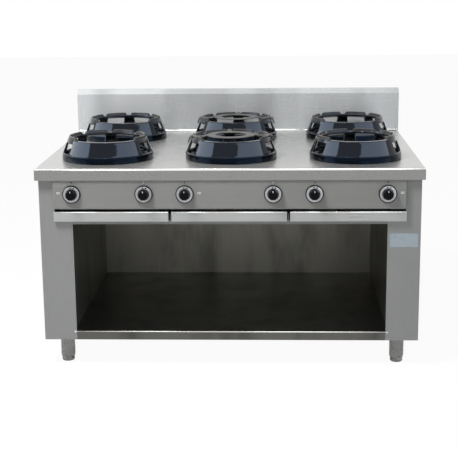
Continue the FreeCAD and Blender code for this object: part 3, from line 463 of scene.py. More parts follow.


# painted shade on the worktop: its upright faces are darkened to 0.54 of its colour
WORKTOP_STEEL = BrushedSteel("worktop_brushed_steel", (0.49, 0.49, 0.48), Grain.ALONG_X, 0.28,
                             streaks=0.04, clouds=0.06, upright_painted_shade=0.54, metal=0.80,
                             relief=0.000018)
SPLASH_STEEL = BrushedSteel("backsplash_brushed_steel", (0.43, 0.445, 0.46), Grain.ALONG_X, 0.28,
                            streaks=0.03, clouds=0.05, bands=0.75, metal=0.32,
                            relief=0.000018)
COLUMN_STEEL = BrushedSteel("column_brushed_steel", (0.222, 0.228, 0.227), Grain.ALONG_Z, 0.36,
                            streaks=0.12, metal=0.30)
PANEL_STEEL = BrushedSteel("panel_brushed_steel", (0.196, 0.197, 0.193), Grain.ALONG_X, 0.38,
                           clouds=0.14, metal=0.20)
TRAY_STEEL = BrushedSteel("tray_front_steel", (0.377, 0.386, 0.389), Grain.ALONG_X, 0.32,
                          metal=0.4)
SHELF_STEEL = BrushedSteel("shelf_dull_steel", (0.125, 0.122, 0.113), Grain.ALONG_X, 0.34,
                           grime=0.6)
# painted shade: the lining's dark colour stands for the shade inside the cabinet's opening; its
# smears are random grime
LINING_PAINTED_SHADE_STEEL = BrushedSteel("lining_painted_shade_steel", (0.185, 0.182, 0.160), Grain.ALONG_Z, 0.42,
                           streaks=0.16, clouds=0.2, grime=0.6)
# painted highlight: a far lighter steel than the sheets, laid on the bends and the cove so they
# show bright lines
BEND_HIGHLIGHT_STEEL = BrushedSteel("bend_painted_highlight_steel", (0.80, 0.80, 0.78), Grain.ALONG_X, 0.22)
MILL_STEEL = BrushedSteel("mill_finish_steel", (0.30, 0.30, 0.29), Grain.ALONG_X, 0.45,
                          clouds=0.16)
PLATE_METAL = TurnedMetal("blank_plate_metal", (0.30, 0.345, 0.375), (0.26, 0.30, 0.33),
                          Grain.ALONG_X, 0.42)
LEG_STEEL = TurnedMetal("leg_tube_steel", (0.236, 0.242, 0.236), (0.165, 0.165, 0.159),
                        Grain.ALONG_Z, 0.26, metal=0.45)
FOOT_STEEL = TurnedMetal("turned_foot_steel", (0.215, 0.215, 0.21), (0.136, 0.136, 0.13),
                         Grain.NONE, 0.32, metal=0.6)
SCREW_STEEL = TurnedMetal("screw_steel", (0.75, 0.75, 0.75), (0.5, 0.5, 0.5), roughness=0.35)
RING_ENAMEL = GlossEnamel("ring_gloss_enamel", (0.0016, 0.0018, 0.0021))
SUPPORT_IRON = RawCasting("support_raw_iron", (0.118, 0.119, 0.120), (0.070, 0.069, 0.067))
BURNER_IRON = RawCasting("burner_raw_iron", (0.10, 0.10, 0.10), (0.055, 0.05, 0.05), 0.6)
CAP_BRASS = TurnedMetal("burner_cap_brass", (0.42, 0.31, 0.15), (0.16, 0.12, 0.08),
                        roughness=0.42)
BOWL_STEEL = BrushedSteel("spill_bowl_steel", (0.50, 0.50, 0.49), Grain.NONE, 0.30, grime=0.4)
GAS_BRASS = TurnedMetal("gas_fitting_brass", (0.60, 0.46, 0.22), (0.42, 0.32, 0.17))
PIPE_STEEL = TurnedMetal("gas_pipe_steel", (0.36, 0.36, 0.36), (0.26, 0.25, 0.24),
                         Grain.ALONG_X, 0.45)
FEED_METAL = TurnedMetal("feed_tube_aluminium", (0.62, 0.63, 0.64), (0.5, 0.5, 0.5),
                         roughness=0.35)
KNOB_PLASTIC = MouldedPlastic("knob_black_plastic", (0.004, 0.004, 0.0047), 0.26, 0.05)
BEZEL_PLASTIC = MouldedPlastic("bezel_black_plastic", (0.008, 0.008, 0.009), 0.42, 0.2)
SCALE_METAL = TurnedMetal("scale_disc_aluminium", (0.44, 0.45, 0.46), (0.30, 0.31, 0.32),
                          Grain.NONE, 0.38)
POINTER_METAL = TurnedMetal("pointer_metal", (0.62, 0.64, 0.68), (0.45, 0.47, 0.5),
                            roughness=0.25)
DARK_INK = PrintedMark("dark_scale_ink", (0.02, 0.02, 0.025))
LIGHT_INK = PrintedMark("light_panel_ink", (0.78, 0.79, 0.79))

Dressing = tuple[tuple[Finish, tuple[str, ...]], ...]


# ---- mesh workbench
class Stock:
    """Metal in progress: points and faces that become one smooth object."""

    def __init__(self) -> None:
        """Start with an empty mesh."""
        self.mesh = bmesh.new()

    def lattice(self, rows: Sequence[Sequence[Point]], loop_rows: bool = False,
                loop_columns: bool = False,
                holes: set[tuple[int, int]] | None = None) -> list[list[bmesh.types.BMVert]]:
        """Lay quads between rows of points.

        Args:
            rows: The points, row by row.
            loop_rows: Whether the last row joins the first.
            loop_columns: Whether the last column joins the first.
            holes: Cells that stay open, by row and column.

        Returns:
            The mesh points, in the same order.
        """
        points = [[self.mesh.verts.new(point) for point in row] for row in rows]
        high, wide = len(rows), len(rows[0])
        for row in range(high if loop_rows else high - 1):
            for column in range(wide if loop_columns else wide - 1):
                if holes and (row, column) in holes:
                    continue
                above, beside = (row + 1) % high, (column + 1) % wide
                self.mesh.faces.new((points[row][column], points[row][beside],
                                     points[above][beside], points[above][column]))
        return points

    def lathe(self, outline: Sequence[Flat], axis: Matrix = IDENTITY, steps: int = 96,
              closed: bool = True, waist: "Waist | None" = None) -> None:
        """Turn an outline of radius and height about an axis.

        Args:
            outline: Radii and heights, from one end to the other.
            axis: Where the outline's own Z axis stands.
            steps: Columns round the axis.
            closed: Whether the outline's end joins its start.
            waist: A change of radius with the angle, for flutes.
        """
        rows = []
        for radius, height in outline:
            row = []
            for step in range(steps):
                angle = math.tau * step / steps
                reach = waist.radius(radius, height, angle) if waist else radius
                point = Vector((reach * math.cos(angle), reach * math.sin(angle), height))
                row.append(axis @ point)
            rows.append(row)
        self.lattice(rows, loop_rows=closed, loop_columns=True)

    def loft(self, rows: Sequence[Sequence[Point]]) -> None:
        """Lay a skin over closed rows and close both ends.

        Args:
            rows: Closed outlines, from one end to the other.
        """
        points = self.lattice(rows, loop_columns=True)
        for end in (points[0], points[-1]):
            self.mesh.faces.new(end)

    def slab(self, outline: Sequence[Flat], low: float, high: float) -> None:
        """A flat plate from an outline in X and Y between two heights."""
        self.loft([[(x, y, level) for x, y in outline] for level in (low, high)])

    def bar(self, section: Sequence[Flat], left: float, right: float) -> None:
        """A bar from a section in Y and Z between two ends."""
        self.loft([[(x, y, z) for y, z in section] for x in (left, right)])

    def finish(self, name: str, matrix: Matrix = IDENTITY, levels: int = 0,
               bevel: float = 0.0) -> bpy.types.Object:
        """Turn the stock into an object.

        Args:
            name: The object's name.
            matrix: Where the stock's own axes stand in the frame.
            levels: Subdivision levels.
            bevel: Width of a rounded edge, or 0.

        Returns:
            The object, linked to the scene.
        """
        bmesh.ops.remove_doubles(self.mesh, verts=self.mesh.verts, dist=1e-7)
        bmesh.ops.recalc_face_normals(self.mesh, faces=self.mesh.faces)
        self.mesh.transform(matrix)
        mesh = bpy.data.meshes.new(name)
        self.mesh.to_mesh(mesh)
        self.mesh.free()
        mesh.shade_smooth()
        piece = bpy.data.objects.new(name, mesh)
        bpy.context.scene.collection.objects.link(piece)
        if bevel:
            edge = piece.modifiers.new("rounded_edges", "BEVEL")
            edge.width = bevel
            edge.segments = 3
            edge.limit_method = "ANGLE"
            edge.angle_limit = math.radians(32)
            edge.harden_normals = True
        if levels:
            smooth = piece.modifiers.new("cast_rounding", "SUBSURF")
            smooth.levels = levels
            smooth.render_levels = levels
        return piece


def dress(piece: bpy.types.Object, material: bpy.types.Material) -> None:
    """Give a piece one material all over.

    Args:
        piece: A new piece or a plain node.
        material: Its material.
    """
    if piece.material_slots:
        for slot in piece.material_slots:
            slot.material = material
    else:
        piece.data.materials.append(material)


def dress_nodes(frame: dict, finishes: Dressing) -> None:
    """Give plain nodes their finishes.

    Args:
        frame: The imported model.
        finishes: Each finish and its nodes.
    """
    for finish, names in finishes:
        for name in names:
            dress(frame["nodes"][name], finish.material())
            log.info("%s has %s", name, finish.name)


def mount(piece: bpy.types.Object, finish: Finish, body: str,
          node: str | None = None) -> None:
    """Dress a piece and make it part of the frame.

    Args:
        piece: The new piece.
        finish: Its finish.
        body: The body that it moves with.
        node: The plain node that it stands for, or none.
    """
    dress(piece, finish.material())
    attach(piece, body)
    if node:
        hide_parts(node)
    log.info("%s rides on %s", piece.name, body)


def circle(x: float, y: float, radius: float, steps: int = 16) -> list[Flat]:
    """Points round a circle."""
    turns = [math.tau * step / steps for step in range(steps)]
    return [(x + radius * math.cos(turn), y + radius * math.sin(turn)) for turn in turns]


def facing_front(centre: Vector) -> Matrix:
    """A turned piece's own axis laid towards the front."""
    return Matrix.Translation(centre) @ Matrix.Rotation(math.radians(90), 4, "X")


@dataclass(frozen=True)
class Waist:
    """Flutes round a knob's grip."""

    count: int = 8
    depth: float = 0.0020
    start: float = 0.0140
    width: float = 0.30
    core: float = 0.012

    def radius(self, radius: float, height: float, angle: float) -> float:
        """Cut the flutes.

        Args:
            radius: The plain radius.
            height: The height on the grip.
            angle: The angle round the grip.

        Returns:
            The radius with its flutes.
        """
        if height < self.start or radius < self.core:
            return radius
        turn = math.tau / self.count
        off = abs((angle + turn / 2) % turn - turn / 2) / (turn * self.width)
        return radius - self.depth * max(0.0, 1.0 - off * off)


# ---- wok rings
@dataclass
class WokRing:
    """A cast ring: band, cone with six windows, closed front shield and raised pads."""

    station: str
    centre: Vector
    turn: float
    radius: float = 0.184
    rim_radius: float = 0.160
    height: float = 0.084
    pad_height: float = 0.011
    window_half: float = 0.040
    window_low: float = 0.0292
    window_high: float = 0.0688
    shoulder: float = 0.0725
    sector: float = 45.0
    guard: float = 0.0034
    windows: int = 6
    pad_edges: tuple[float, ...] = (17.6, 18.7, 20.6)
    span_reach: float = 0.173
    # how far the lip lies inside the rim, the same on a pad, and a pad's fall from its top
    lip: tuple[Point, ...] = (
        (0.0038, 0.0045, 0.0065), (0.0050, 0.0047, 0.0018), (0.0068, 0.0064, 0.0003),
        (0.0090, 0.0090, 0.0), (0.0115, 0.0120, 0.0001), (0.0135, 0.0143, 0.0012),
        (0.0150, 0.0155, 0.0035))

    def cone(self, height: float) -> float:
        """Outer radius of the cone at a height."""
        foot = self.radius - 0.0035
        return foot - (foot - self.rim_radius) * (height - 0.028) / (self.height - 0.032)

    def lining(self, height: float) -> float:
        """Inner radius of the cone at a height."""
        return self.cone(height) - 0.0088

    def window_levels(self) -> list[float]:
        """Heights of the rows that cross a window."""
        low, high, guard = self.window_low, self.window_high, self.guard
        return [low, low + guard, low + 0.012, (low + high) / 2, high - 0.012, high - guard, high]

    def rows(self) -> list[tuple[Flat, Flat, bool]]:
        """Draw the ring's section.

        Returns:
            Each row's plain place, its place on a pad, and whether it crosses a window.
        """
        outer, rim, top, shoulder = self.radius, self.rim_radius, self.height, self.shoulder
        pad, levels = top + self.pad_height, self.window_levels()

        def same(places: Sequence[Flat], crosses: bool = False) -> list[tuple[Flat, Flat, bool]]:
            """Rows that a pad doesn't change."""
            return [(place, place, crosses) for place in places]

        return (same([(outer - 0.0012, 0.0), (outer, 0.0014), (outer, 0.013), (outer, 0.0238),
                      (outer - 0.0010, 0.0254), (outer - 0.0036, 0.0266)])
                + same([(self.cone(level), level) for level in levels], True)
                + same([(self.cone(shoulder), shoulder), (rim, top - 0.004),
                        (rim - 0.0007, top - 0.0014), (rim - 0.0026, top)])
                + [((rim - flat, top), (rim - inset, pad - drop), False)
                   for flat, inset, drop in self.lip]
                + same([(rim - 0.0168, top), (rim - 0.0192, top - 0.0016),
                        (rim - 0.0200, top - 0.0050), (rim - 0.0188, top - 0.0092),
                        (self.lining(shoulder), shoulder)])
                + same([(self.lining(level), level) for level in reversed(levels)], True)
                + same([(outer - 0.0130, 0.0150), (outer - 0.0176, 0.0085),
                        (outer - 0.0198, 0.0055), (outer - 0.0200, 0.0012),
                        (outer - 0.0188, 0.0)]))

    def columns(self) -> list[tuple[float, float, bool]]:
        """Set out the section's turns round the axis.

        Returns:
            Each column's angle, its distance across a window or 0, and whether a pad is there.
        """
        found = []
        steps = (0.008, 0.024, self.window_half - self.guard, self.window_half,
                 self.window_half + self.guard)
        spans = [-step for step in reversed(steps)] + list(steps)
        for index in range(8):
            middle = -self.sector / 2 + self.sector * index
            found.append((middle - self.sector / 2, 0.0, False))
            if index < self.windows:
                edges = [(edge, edge == self.pad_edges[0]) for edge in self.pad_edges]
                found += [(middle - edge, 0.0, raised) for edge, raised in reversed(edges)]
                found += [(middle, span, True) for span in spans]
                found += [(middle + edge, 0.0, raised) for edge, raised in edges]
            else:
                found += [(middle + self.sector / 10 * step, 0.0, False) for step in range(-4, 5)]
        return found

    def build(self) -> None:
        """Make the ring and put it in place of its plain node."""
        rows, columns = self.rows(), self.columns()
        lines = []
        for plain, padded, crosses in rows:
            line = []
            for angle, span, raised in columns:
                radius, level = padded if raised else plain
                reach = radius if crosses else self.span_reach
                bearing = math.radians(angle + self.turn) + math.asin(span / reach)
                line.append((radius * math.cos(bearing), radius * math.sin(bearing), level))
            lines.append(line)
        crossing = [index for index, row in enumerate(rows) if row[2]]
        half = len(crossing) // 2
        outside, inside = crossing[:half], crossing[half:]
        edges = [index for index, column in enumerate(columns)
                 if abs(abs(column[1]) - self.window_half) < 1e-9]
        windows = list(zip(edges[::2], edges[1::2]))
        holes = {(row, column) for left, right in windows for column in range(left, right)
                 for row in outside[:-1] + inside[:-1]}
        stock = Stock()
        points = stock.lattice(lines, loop_rows=True, loop_columns=True, holes=holes)
        faces = stock.mesh.faces
        for left, right in windows:
            for column in range(left, right):
                for outer, inner in ((outside[0], inside[-1]), (outside[-1], inside[0])):
                    faces.new((points[outer][column], points[outer][column + 1],
                               points[inner][column + 1], points[inner][column]))
            for low, high, deep_high, deep_low in zip(outside, outside[1:], inside[-2::-1],
                                                      inside[:0:-1]):
                for column in (left, right):
                    faces.new((points[low][column], points[high][column],
                               points[deep_high][column], points[deep_low][column]))
        ring = stock.finish(f"cast_ring_{self.station}", Matrix.Translation(self.centre), levels=1)
        body = f"wok_ring_{self.station}"
        mount(ring, replace(RING_ENAMEL, foot=self.centre.z), body, body)


# ---- pot supports
@dataclass
class PotSupport:
    """A cast pot support: a raised hub and three arms hooked over a ring's rim."""

    station: str
    centre: Vector
    turn: float
    hub_radius: float = 0.098
    hole_radius: float = 0.0625
    hub_low: float = 0.0890
    hub_high: float = 0.0940
    hub_edge: float = 0.0013
    arms: tuple[float, ...] = (0.0, 90.0, 180.0)
    # an arm's section, across in half widths and up in heights
    corners: tuple[Flat, ...] = ((1.0, 0.74), (0.72, 1.0), (0.0, 1.0), (-0.72, 1.0), (-1.0, 0.74),
                                 (-1.0, 0.26), (-0.72, 0.0), (0.0, 0.0), (0.72, 0.0), (1.0, 0.26))
    # top radius, top height, bottom radius, bottom height, half width along an arm
    line: tuple[tuple[float, float, float, float, float], ...] = (
        (0.0900, 0.0939, 0.0900, 0.0891, 0.0180), (0.0960, 0.0939, 0.0960, 0.0891, 0.0180),
        (0.1000, 0.0936, 0.0992, 0.0890, 0.0179), (0.1062, 0.0917, 0.1052, 0.0867, 0.0160),
        (0.1125, 0.0897, 0.1117, 0.0847, 0.0126), (0.1210, 0.0892, 0.1210, 0.0844, 0.0101),
        (0.1320, 0.0893, 0.1330, 0.0844, 0.0098), (0.1365, 0.0908, 0.1390, 0.0844, 0.0098),
        (0.1410, 0.0936, 0.1440, 0.0844, 0.0098), (0.1500, 0.0940, 0.1510, 0.0844, 0.0096),
        (0.1600, 0.0938, 0.1574, 0.0845, 0.0096), (0.1650, 0.0922, 0.1616, 0.0826, 0.0094),
        (0.1680, 0.0880, 0.1640, 0.0776, 0.0092), (0.1718, 0.0770, 0.1668, 0.0712, 0.0090),
        (0.1752, 0.0660, 0.1690, 0.0650, 0.0087), (0.1746, 0.0630, 0.1697, 0.0628, 0.0080))

    def arm(self, stock: Stock, angle: float) -> None:
        """Loft one arm and its finger along its line.

        Args:
            stock: The support in progress.
            angle: The arm's direction on the ring.
        """
        bearing = math.radians(angle + self.turn)
        along = Vector((math.cos(bearing), math.sin(bearing), 0.0))
        across = Vector((-along.y, along.x, 0.0))
        rows = []
        for top_radius, top, low_radius, low, half in self.line:
            upper = along * top_radius + Vector((0.0, 0.0, top))
            lower = along * low_radius + Vector((0.0, 0.0, low))
            rows.append([tuple(lower.lerp(upper, lift) + across * (half * side))
                         for side, lift in self.corners])
        stock.loft(rows)

    def build(self) -> None:
        """Make the support and put it in place of its plain node."""
        stock = Stock()
        inner, outer, low, high = self.hole_radius, self.hub_radius, self.hub_low, self.hub_high
        edge = self.hub_edge
        stock.lathe([(inner, low + edge), (inner + edge, low), ((inner + outer) / 2, low),
                     (outer - edge, low), (outer, low + edge), (outer, high - edge),
                     (outer - edge, high), ((inner + outer) / 2, high), (inner + edge, high),
                     (inner, high - edge)], steps=64)
        for angle in self.arms:
            self.arm(stock, angle)
        support = stock.finish(f"cast_support_{self.station}", Matrix.Translation(self.centre),
                               levels=1)
        body = f"pot_support_{self.station}"
        mount(support, SUPPORT_IRON, body, body)


# ---- knobs
@dataclass
class Knob:
    """A fluted black grip on a silver scale disc, inside a round black bezel."""

    station: str
    centre: Vector
    skirt_radius: float = 0.0312
    grip_radius: float = 0.0225
    tip_radius: float = 0.0182
    disc_low: float = 0.0066
    disc_high: float = 0.0110
    tip: float = 0.0364
    bore: float = 0.0045
    # angles and radii of the scale's marks: off at the top, then the flame settings
    marks: tuple[Flat, ...] = ((95.0, 0.0029), (70.0, 0.0029), (30.0, 0.0010), (-20.0, 0.0010),
                               (-70.0, 0.0010))
    ink: Flat = (-0.0001, 0.00012)
    pointer_outline: tuple[Flat, ...] = ((-0.0016, 0.0105), (0.0016, 0.0105), (0.0016, 0.0160),
                                         (0.0, 0.0176), (-0.0016, 0.0160))
    pointer_sunk: Flat = (-0.0012, 0.0001)
    pointer_bevel: float = 0.0004

    def grip(self) -> Stock:
        """Turn the moulded grip.

        Returns:
            The grip in progress.
        """
        stock = Stock()
        low, tip, wide, narrow = self.disc_high, self.tip, self.grip_radius, self.tip_radius
        outline = [(0.0, low), (wide - 0.0006, low), (wide, low + 0.0006),
                   (wide - 0.0002, low + 0.0029), (wide - 0.0003, low + 0.0034),
                   (wide - 0.0017, low + 0.012), (narrow + 0.0013, tip - 0.0048),
                   (narrow + 0.0004, tip - 0.0021), (narrow - 0.0012, tip - 0.0007),
                   (narrow - 0.0036, tip - 0.0002), (narrow - 0.0075, tip - 0.0009),
                   (0.0, tip - 0.0014)]
        stock.lathe(outline, closed=False, waist=Waist())
        return stock

    def disc(self) -> Stock:
        """Turn the silver scale disc under the grip.

        Returns:
            The disc in progress.
        """
        stock = Stock()
        low, high, edge = self.disc_low, self.disc_high, self.skirt_radius
        stock.lathe([(self.bore, low), (edge - 0.0005, low), (edge, low + 0.0005),
                     (edge, high - 0.0012), (edge - 0.0004, high - 0.0004), (edge - 0.0014, high),
                     (self.grip_radius - 0.0025, high), (self.bore, high)])
        return stock

    def scale(self) -> Stock:
        """Print the small dark marks on the disc.

        Returns:
            The marks in progress.
        """
        stock = Stock()
        middle = (self.skirt_radius + self.grip_radius) / 2
        under, over = (self.disc_high + depth for depth in self.ink)
        for angle, radius in self.marks:
            bearing = math.radians(angle)
            stock.slab(circle(middle * math.cos(bearing), middle * math.sin(bearing), radius),
                       under, over)
        return stock

    def pointer(self) -> Stock:
        """Cut the light pointer let into the grip's front edge.

        Returns:
            The pointer in progress.
        """
        stock = Stock()
        stock.slab(self.pointer_outline, *(self.tip + depth for depth in self.pointer_sunk))
        return stock

    def build(self) -> None:
        """Make the knob and put it in place of its plain node."""
        body, axis = f"knob_{self.station}", facing_front(self.centre)
        for part, stock, finish, slot, levels, bevel in (
                ("grip", self.grip(), KNOB_PLASTIC, "knob_plastic", 1, 0.0),
                ("disc", self.disc(), SCALE_METAL, "plate_aluminium", 1, 0.0),
                ("scale", self.scale(), DARK_INK, "knob_plastic", 0, 0.0),
                ("pointer", self.pointer(), POINTER_METAL, "plate_aluminium", 0,
                 self.pointer_bevel)):
            piece = stock.finish(f"knob_{part}_{self.station}", axis, levels, bevel)
            mount(piece, finish, body, body)


@dataclass
class BezelSet:
    """Six round black bezels on the control panel."""

    centres: list[Vector]
    radius: float = 0.0349
    wall: float = 0.0024
    height: float = 0.0089
    hole: float = 0.0061

    def build(self) -> None:
        """Make the bezels in one piece that stands for the plain node."""
        rim, outer, high = self.radius - self.wall, self.radius, self.height
        stock = Stock()
        for centre in self.centres:
            stock.lathe([(self.hole, 0.0), (outer - 0.0002, 0.0), (outer, 0.0004),
                         (outer, high - 0.0016), (outer - 0.0004, high - 0.0005),
                         (outer - 0.0012, high), (rim + 0.0004, high), (rim, high - 0.0004),
                         (rim, 0.0020), (rim - 0.0008, 0.0014), (self.hole, 0.0014)],
                        facing_front(centre))
        mount(stock.finish("round_bezels"), BEZEL_PLASTIC, BODY, "knob_bezels")


# ---- cabinet
@dataclass
class Cabinet:
    """The sheet work: its finishes, the cove behind the burners and the bends, both in a bright
    steel that paints their highlights.
    """

    frame: dict
    cove_radius: float = 0.009
    cove_behind: float = 0.0006
    cove_under: float = 0.0004
    cove_end: float = 0.004
    fold_radius: float = 0.0028
    worktop_fold_radius: float = 0.0056
    fold_proud: float = 0.0006
    fold_end: float = 0.0005
    finishes: Dressing = (
        (WORKTOP_STEEL, ("worktop",)), (SPLASH_STEEL, ("backsplash",)),
        (COLUMN_STEEL, ("left_side_panel", "right_side_panel")),
        (LINING_PAINTED_SHADE_STEEL, ("left_inner_panel", "right_inner_panel", "cabinet_back_panel")),
        (MILL_STEEL, ("rear_panel", "tray_runners", "front_burner_rail", "rear_burner_rail")),
        (SHELF_STEEL, ("base_shelf",)), (PANEL_STEEL, ("lower_rail", "control_panel")),
        (PLATE_METAL, ("rating_plate",)), (SCREW_STEEL, ("case_screws",)), (LEG_STEEL, ("legs",)),
        (TRAY_STEEL, ("drip_tray_left", "drip_tray_centre", "drip_tray_right")),
        (FOOT_STEEL, ("foot_front_left", "foot_front_right", "foot_rear_left", "foot_rear_right")))

    def cove(self) -> None:
        """The rounded joint between the worktop and the backsplash, in a bright steel that paints
        its highlight.
        """
        low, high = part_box("backsplash")
        edge, back, under = self.cove_radius, low.y + self.cove_behind, low.z - self.cove_under
        stock = Stock()
        arc = [(low.y - edge + edge * math.sin(math.radians(angle)),
                low.z + edge - edge * math.cos(math.radians(angle))) for angle in range(0, 91, 10)]
        arc += [(back, low.z + edge), (back, under), (low.y - edge, under)]
        stock.bar(arc, low.x + self.cove_end, high.x - self.cove_end)
        mount(stock.finish("splash_cove"), BEND_HIGHLIGHT_STEEL, BODY)

    def fold(self, node: str, body: str, radius: float) -> None:
        """Lay a bright bar along the bend at the top front edge of a folded sheet, as a painted
        highlight.

        Args:
            node: The sheet.
            body: The body that it moves with.
            radius: The bend's radius.
        """
        low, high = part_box(node)
        inset = radius - self.fold_proud
        stock = Stock()
        stock.bar(circle(low.y + inset, high.z - inset, radius),
                  low.x + self.fold_end, high.x - self.fold_end)
        mount(stock.finish(f"{node}_bend"), BEND_HIGHLIGHT_STEEL, body)

    def build(self) -> None:
        """Dress the cabinet and add its small pieces."""
        dress_nodes(self.frame, self.finishes)
        self.cove()
        self.fold("worktop", BODY, self.worktop_fold_radius)
        self.fold("base_shelf", BODY, self.fold_radius)
        for place in ("left", "centre", "right"):
            self.fold(f"drip_tray_{place}", f"drip_tray_{place}", self.fold_radius)


@dataclass
class PanelMarks:
    """Printed marks on the control panel: an index over each knob and burner signs."""

    centres: dict[str, Vector]
    index_rise: float = 0.0455
    index_half: Flat = (0.0020, 0.0032)
    dot_half: Flat = (0.0016, 0.0016)
    dot_pitch: Flat = (0.0046, 0.0024)
    sign_rise: float = 0.004
    ink: Flat = (0.0001, -0.00015)
    light: tuple[str, ...] = ("rear_left", "rear_centre")
    signed: dict[str, float] = field(default_factory=lambda: {
        "front_left": -0.052, "front_centre": 0.056, "rear_right": 0.056})

    def plate(self, stock: Stock, middle: Point, half: Flat) -> None:
        """Lay one flat mark on the panel's face.

        Args:
            stock: The marks in progress.
            middle: The mark's middle.
            half: Half its width and height.
        """
        (x, face, z), (wide, high) = middle, half
        corners = ((-wide, -high), (wide, -high), (wide, high), (-wide, high))
        points = stock.lattice([[(x + across, face + depth, z + up) for across, up in corners]
                                for depth in self.ink], loop_columns=True)
        stock.mesh.faces.new(points[1])

    def build(self) -> None:
        """Make the marks in two inks."""
        for ink, name in ((DARK_INK, "dark_marks"), (LIGHT_INK, "light_marks")):
            stock = Stock()
            for station, (x, face, z) in self.centres.items():
                if (station in self.light) == (ink is LIGHT_INK):
                    self.plate(stock, (x, face, z + self.index_rise), self.index_half)
                if station in self.signed and ink is LIGHT_INK:
                    for column in (-1, 0, 1):
                        for row in (-1, 1):
                            across = self.signed[station] + column * self.dot_pitch[0]
                            up = self.sign_rise + row * self.dot_pitch[1]
                            self.plate(stock, (x + across, face, z + up), self.dot_half)
            mount(stock.finish(f"panel_{name}"), ink, BODY)


@dataclass
class GasSide:
    """Burners, bowls and gas fittings: plain nodes with their finishes."""

    frame: dict
    finishes: Dressing = (
        (CAP_BRASS, ("burner_caps",)), (BOWL_STEEL, ("burner_bowls",)),
        (GAS_BRASS, ("injectors", "gas_taps", "pilot_burners", "gas_inlet")),
        (FEED_METAL, ("gas_pipes", "thermocouples")), (PIPE_STEEL, ("gas_manifold",)),
        (BURNER_IRON, tuple(f"burner_{station}" for station in STATIONS)),
        (GAS_BRASS, tuple(f"tap_stem_{station}" for station in STATIONS)))

    def build(self) -> None:
        """Give the gas side's nodes their finishes."""
        dress_nodes(self.frame, self.finishes)


# ---- studio
@dataclass
class Lamp:
    """A soft box: a flat lamp that looks at the range."""

    name: str
    azimuth: float
    elevation: float
    distance: float
    width: float
    height: float
    radiance: float
    colour: Colour = WHITE
    aim: Point = (0.0, 0.0, 0.8)
    mirrored: bool = True
    spread: bool = True

    def build(self) -> None:
        """Hang the lamp; its azimuth is counted from the front to the right."""
        data = bpy.data.lights.new(self.name, "AREA")
        data.shape = "RECTANGLE"
        data.size = self.width
        data.size_y = self.height
        data.color = self.colour
        data.energy = self.radiance * self.width * self.height * math.pi
        lamp = bpy.data.objects.new(self.name, data)
        bpy.context.scene.collection.objects.link(lamp)
        azimuth, elevation = math.radians(self.azimuth), math.radians(self.elevation)
        toward = Vector((math.sin(azimuth) * math.cos(elevation),
                         -math.cos(azimuth) * math.cos(elevation), math.sin(elevation)))
        lamp.location = Vector(self.aim) + toward * self.distance
        lamp.rotation_euler = toward.to_track_quat("Z", "Y").to_euler()
        lamp.visible_camera = False
        lamp.visible_glossy = self.mirrored
        lamp.visible_diffuse = self.spread
        log.info("lamp %s", self.name)


@dataclass
class Studio:
    """Plain pale floor, pale surroundings and soft lamps."""

    floor_half: float = 16.0
    floor_colour: Colour = (0.84, 0.84, 0.84)
    floor_glow: float = 0.95
    ambient: float = 0.24
    lamps: tuple[Lamp, ...] = (
        Lamp("left_box", -78.0, 26.0, 4.2, 4.2, 2.0, 5.2, (0.90, 0.96, 1.0), spread=False),
        Lamp("right_box", 52.0, 23.0, 4.4, 6.4, 2.0, 3.5, (0.90, 0.96, 1.0), spread=False),
        Lamp("top_box", -30.0, 66.0, 3.6, 2.6, 1.3, 2.6, (1.0, 0.99, 0.97)),
        Lamp("spark_box", -18.0, 56.0, 3.8, 0.22, 0.22, 70.0, spread=False),
        Lamp("key_box", -40.0, 50.0, 3.7, 1.0, 1.0, 62.0, (1.0, 0.99, 0.97), mirrored=False))

    def seen(self, bench: Bench) -> Value:
        """Tell looking rays from lighting rays.

        Args:
            bench: The bench of the floor or the world.

        Returns:
            1 for rays that look straight, in a mirror or through glass, else 0.
        """
        straight, mirrored, through = (
            bench.add("ShaderNodeLightPath", output=f"Is {ray} Ray")
            for ray in ("Camera", "Glossy", "Transmission"))
        return straight.larger(mirrored).larger(through)

    def floor(self) -> None:
        """A pale floor that keeps the range's shadow."""
        half = self.floor_half
        stock = Stock()
        stock.lattice([[(x, y, 0.0) for x in (-half, half)] for y in (-half, half)])
        floor = stock.finish("studio_floor")
        material = bpy.data.materials.new("pale_floor")
        material.use_nodes = True
        bench = Bench(material.node_tree)
        paint = bench.add("ShaderNodeBsdfDiffuse", None, {"Color": self.floor_colour})
        glow = bench.add("ShaderNodeEmission", None, {"Color": WHITE, "Strength": 1.0})
        surface = bench.add("ShaderNodeMixShader", None,
                            {0: self.seen(bench) * self.floor_glow, 1: paint, 2: glow})
        bench.add("ShaderNodeOutputMaterial", None, {"Surface": surface})
        dress(floor, material)

    def surroundings(self) -> None:
        """Pale surroundings: white where they are seen, softer as a light."""
        world = bpy.data.worlds.new("pale_surroundings")
        world.use_nodes = True
        bpy.context.scene.world = world
        bench = Bench(world.node_tree)
        seen = self.seen(bench)
        strength = self.ambient + seen * (1.0 - self.ambient)
        sky = bench.add("ShaderNodeBackground", None, {"Color": WHITE, "Strength": strength})
        bench.add("ShaderNodeOutputWorld", None, {"Surface": sky})

    def build(self) -> None:
        """Set the studio up."""
        self.floor()
        self.surroundings()
        for lamp in self.lamps:
            lamp.build()


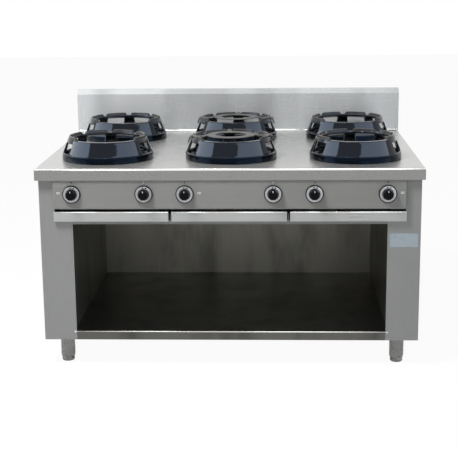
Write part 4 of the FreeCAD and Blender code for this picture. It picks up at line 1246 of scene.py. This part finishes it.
@dataclass
class PhotoCamera:
    """The photograph's camera, fitted to the range's corners."""

    place: Point = (0.183182, -4.869355, 1.548048)
    down: float = 12.7768
    turn: float = -2.4258
    roll: float = -0.58037
    focal_pixels: float = 1152.005
    image_pixels: float = 458.0
    sensor: float = 36.0
    far: float = 100.0

    def build(self) -> None:
        """Make the camera and use it."""
        data = bpy.data.cameras.new("photo_camera")
        data.sensor_width = self.sensor
        data.sensor_fit = "HORIZONTAL"
        data.lens = self.focal_pixels / self.image_pixels * self.sensor
        data.clip_end = self.far
        camera = bpy.data.objects.new("photo_camera", data)
        bpy.context.scene.collection.objects.link(camera)
        down, turn, roll = (math.radians(angle) for angle in (self.down, self.turn, self.roll))
        ahead = Vector((math.sin(turn) * math.cos(down), math.cos(turn) * math.cos(down),
                        -math.sin(down)))
        level = Vector((math.cos(turn), -math.sin(turn), 0.0))
        above = level.cross(ahead)
        right = level * math.cos(roll) + above * math.sin(roll)
        up = above * math.cos(roll) - level * math.sin(roll)
        matrix = Matrix((right, up, -ahead)).transposed().to_4x4()
        matrix.translation = Vector(self.place)
        camera.matrix_world = matrix
        bpy.context.scene.camera = camera


# ---- main
RING_TURNS = {"front_left": 3.5, "front_centre": 4.5, "front_right": 4.5,
              "rear_left": 1.5, "rear_centre": -2.5, "rear_right": 4.0}
COLUMNS = {"left": -0.5, "centre": 0.0, "right": 0.5}
SUPPORTED = ("front_centre", "rear_centre")


def ring_centre(station: str) -> Vector:
    """Find the foot of a ring's axis.

    Args:
        station: The burner's place.

    Returns:
        The place where the axis meets the worktop.
    """
    low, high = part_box(f"wok_ring_{station}")
    return Vector((COLUMNS[station.split("_")[1]], (low.y + high.y) / 2, low.z))


def knob_centre(station: str) -> Vector:
    """The middle of a knob's bezel on the panel's face."""
    low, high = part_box(f"knob_{station}")
    return Vector(((low.x + high.x) / 2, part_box("control_panel")[0].y, (low.z + high.z) / 2))


def assemblies(frame: dict) -> list:
    """Set out the sub-assemblies in the order that they are built in.

    Args:
        frame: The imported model.

    Returns:
        The sub-assemblies, each with a build method.
    """
    parts = [Cabinet(frame), GasSide(frame)]
    for station in STATIONS:
        centre = ring_centre(station)
        parts.append(WokRing(station, centre, RING_TURNS[station]))
        if station in SUPPORTED:
            parts.append(PotSupport(station, centre, RING_TURNS[station]))
    knobs = {station: knob_centre(station) for station in STATIONS}
    parts += [Knob(station, centre) for station, centre in knobs.items()]
    return parts + [BezelSet(list(knobs.values())), PanelMarks(knobs), Studio(), PhotoCamera()]


def main() -> None:
    """Dress the range, class by class, and report each piece."""
    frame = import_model()
    for part in assemblies(frame):
        part.build()
        log.info("%s is built", type(part).__name__)
    bpy.context.scene.view_settings.view_transform = "Standard"


if __name__ == "__main__":
    logging.basicConfig(level=logging.INFO)
    main()
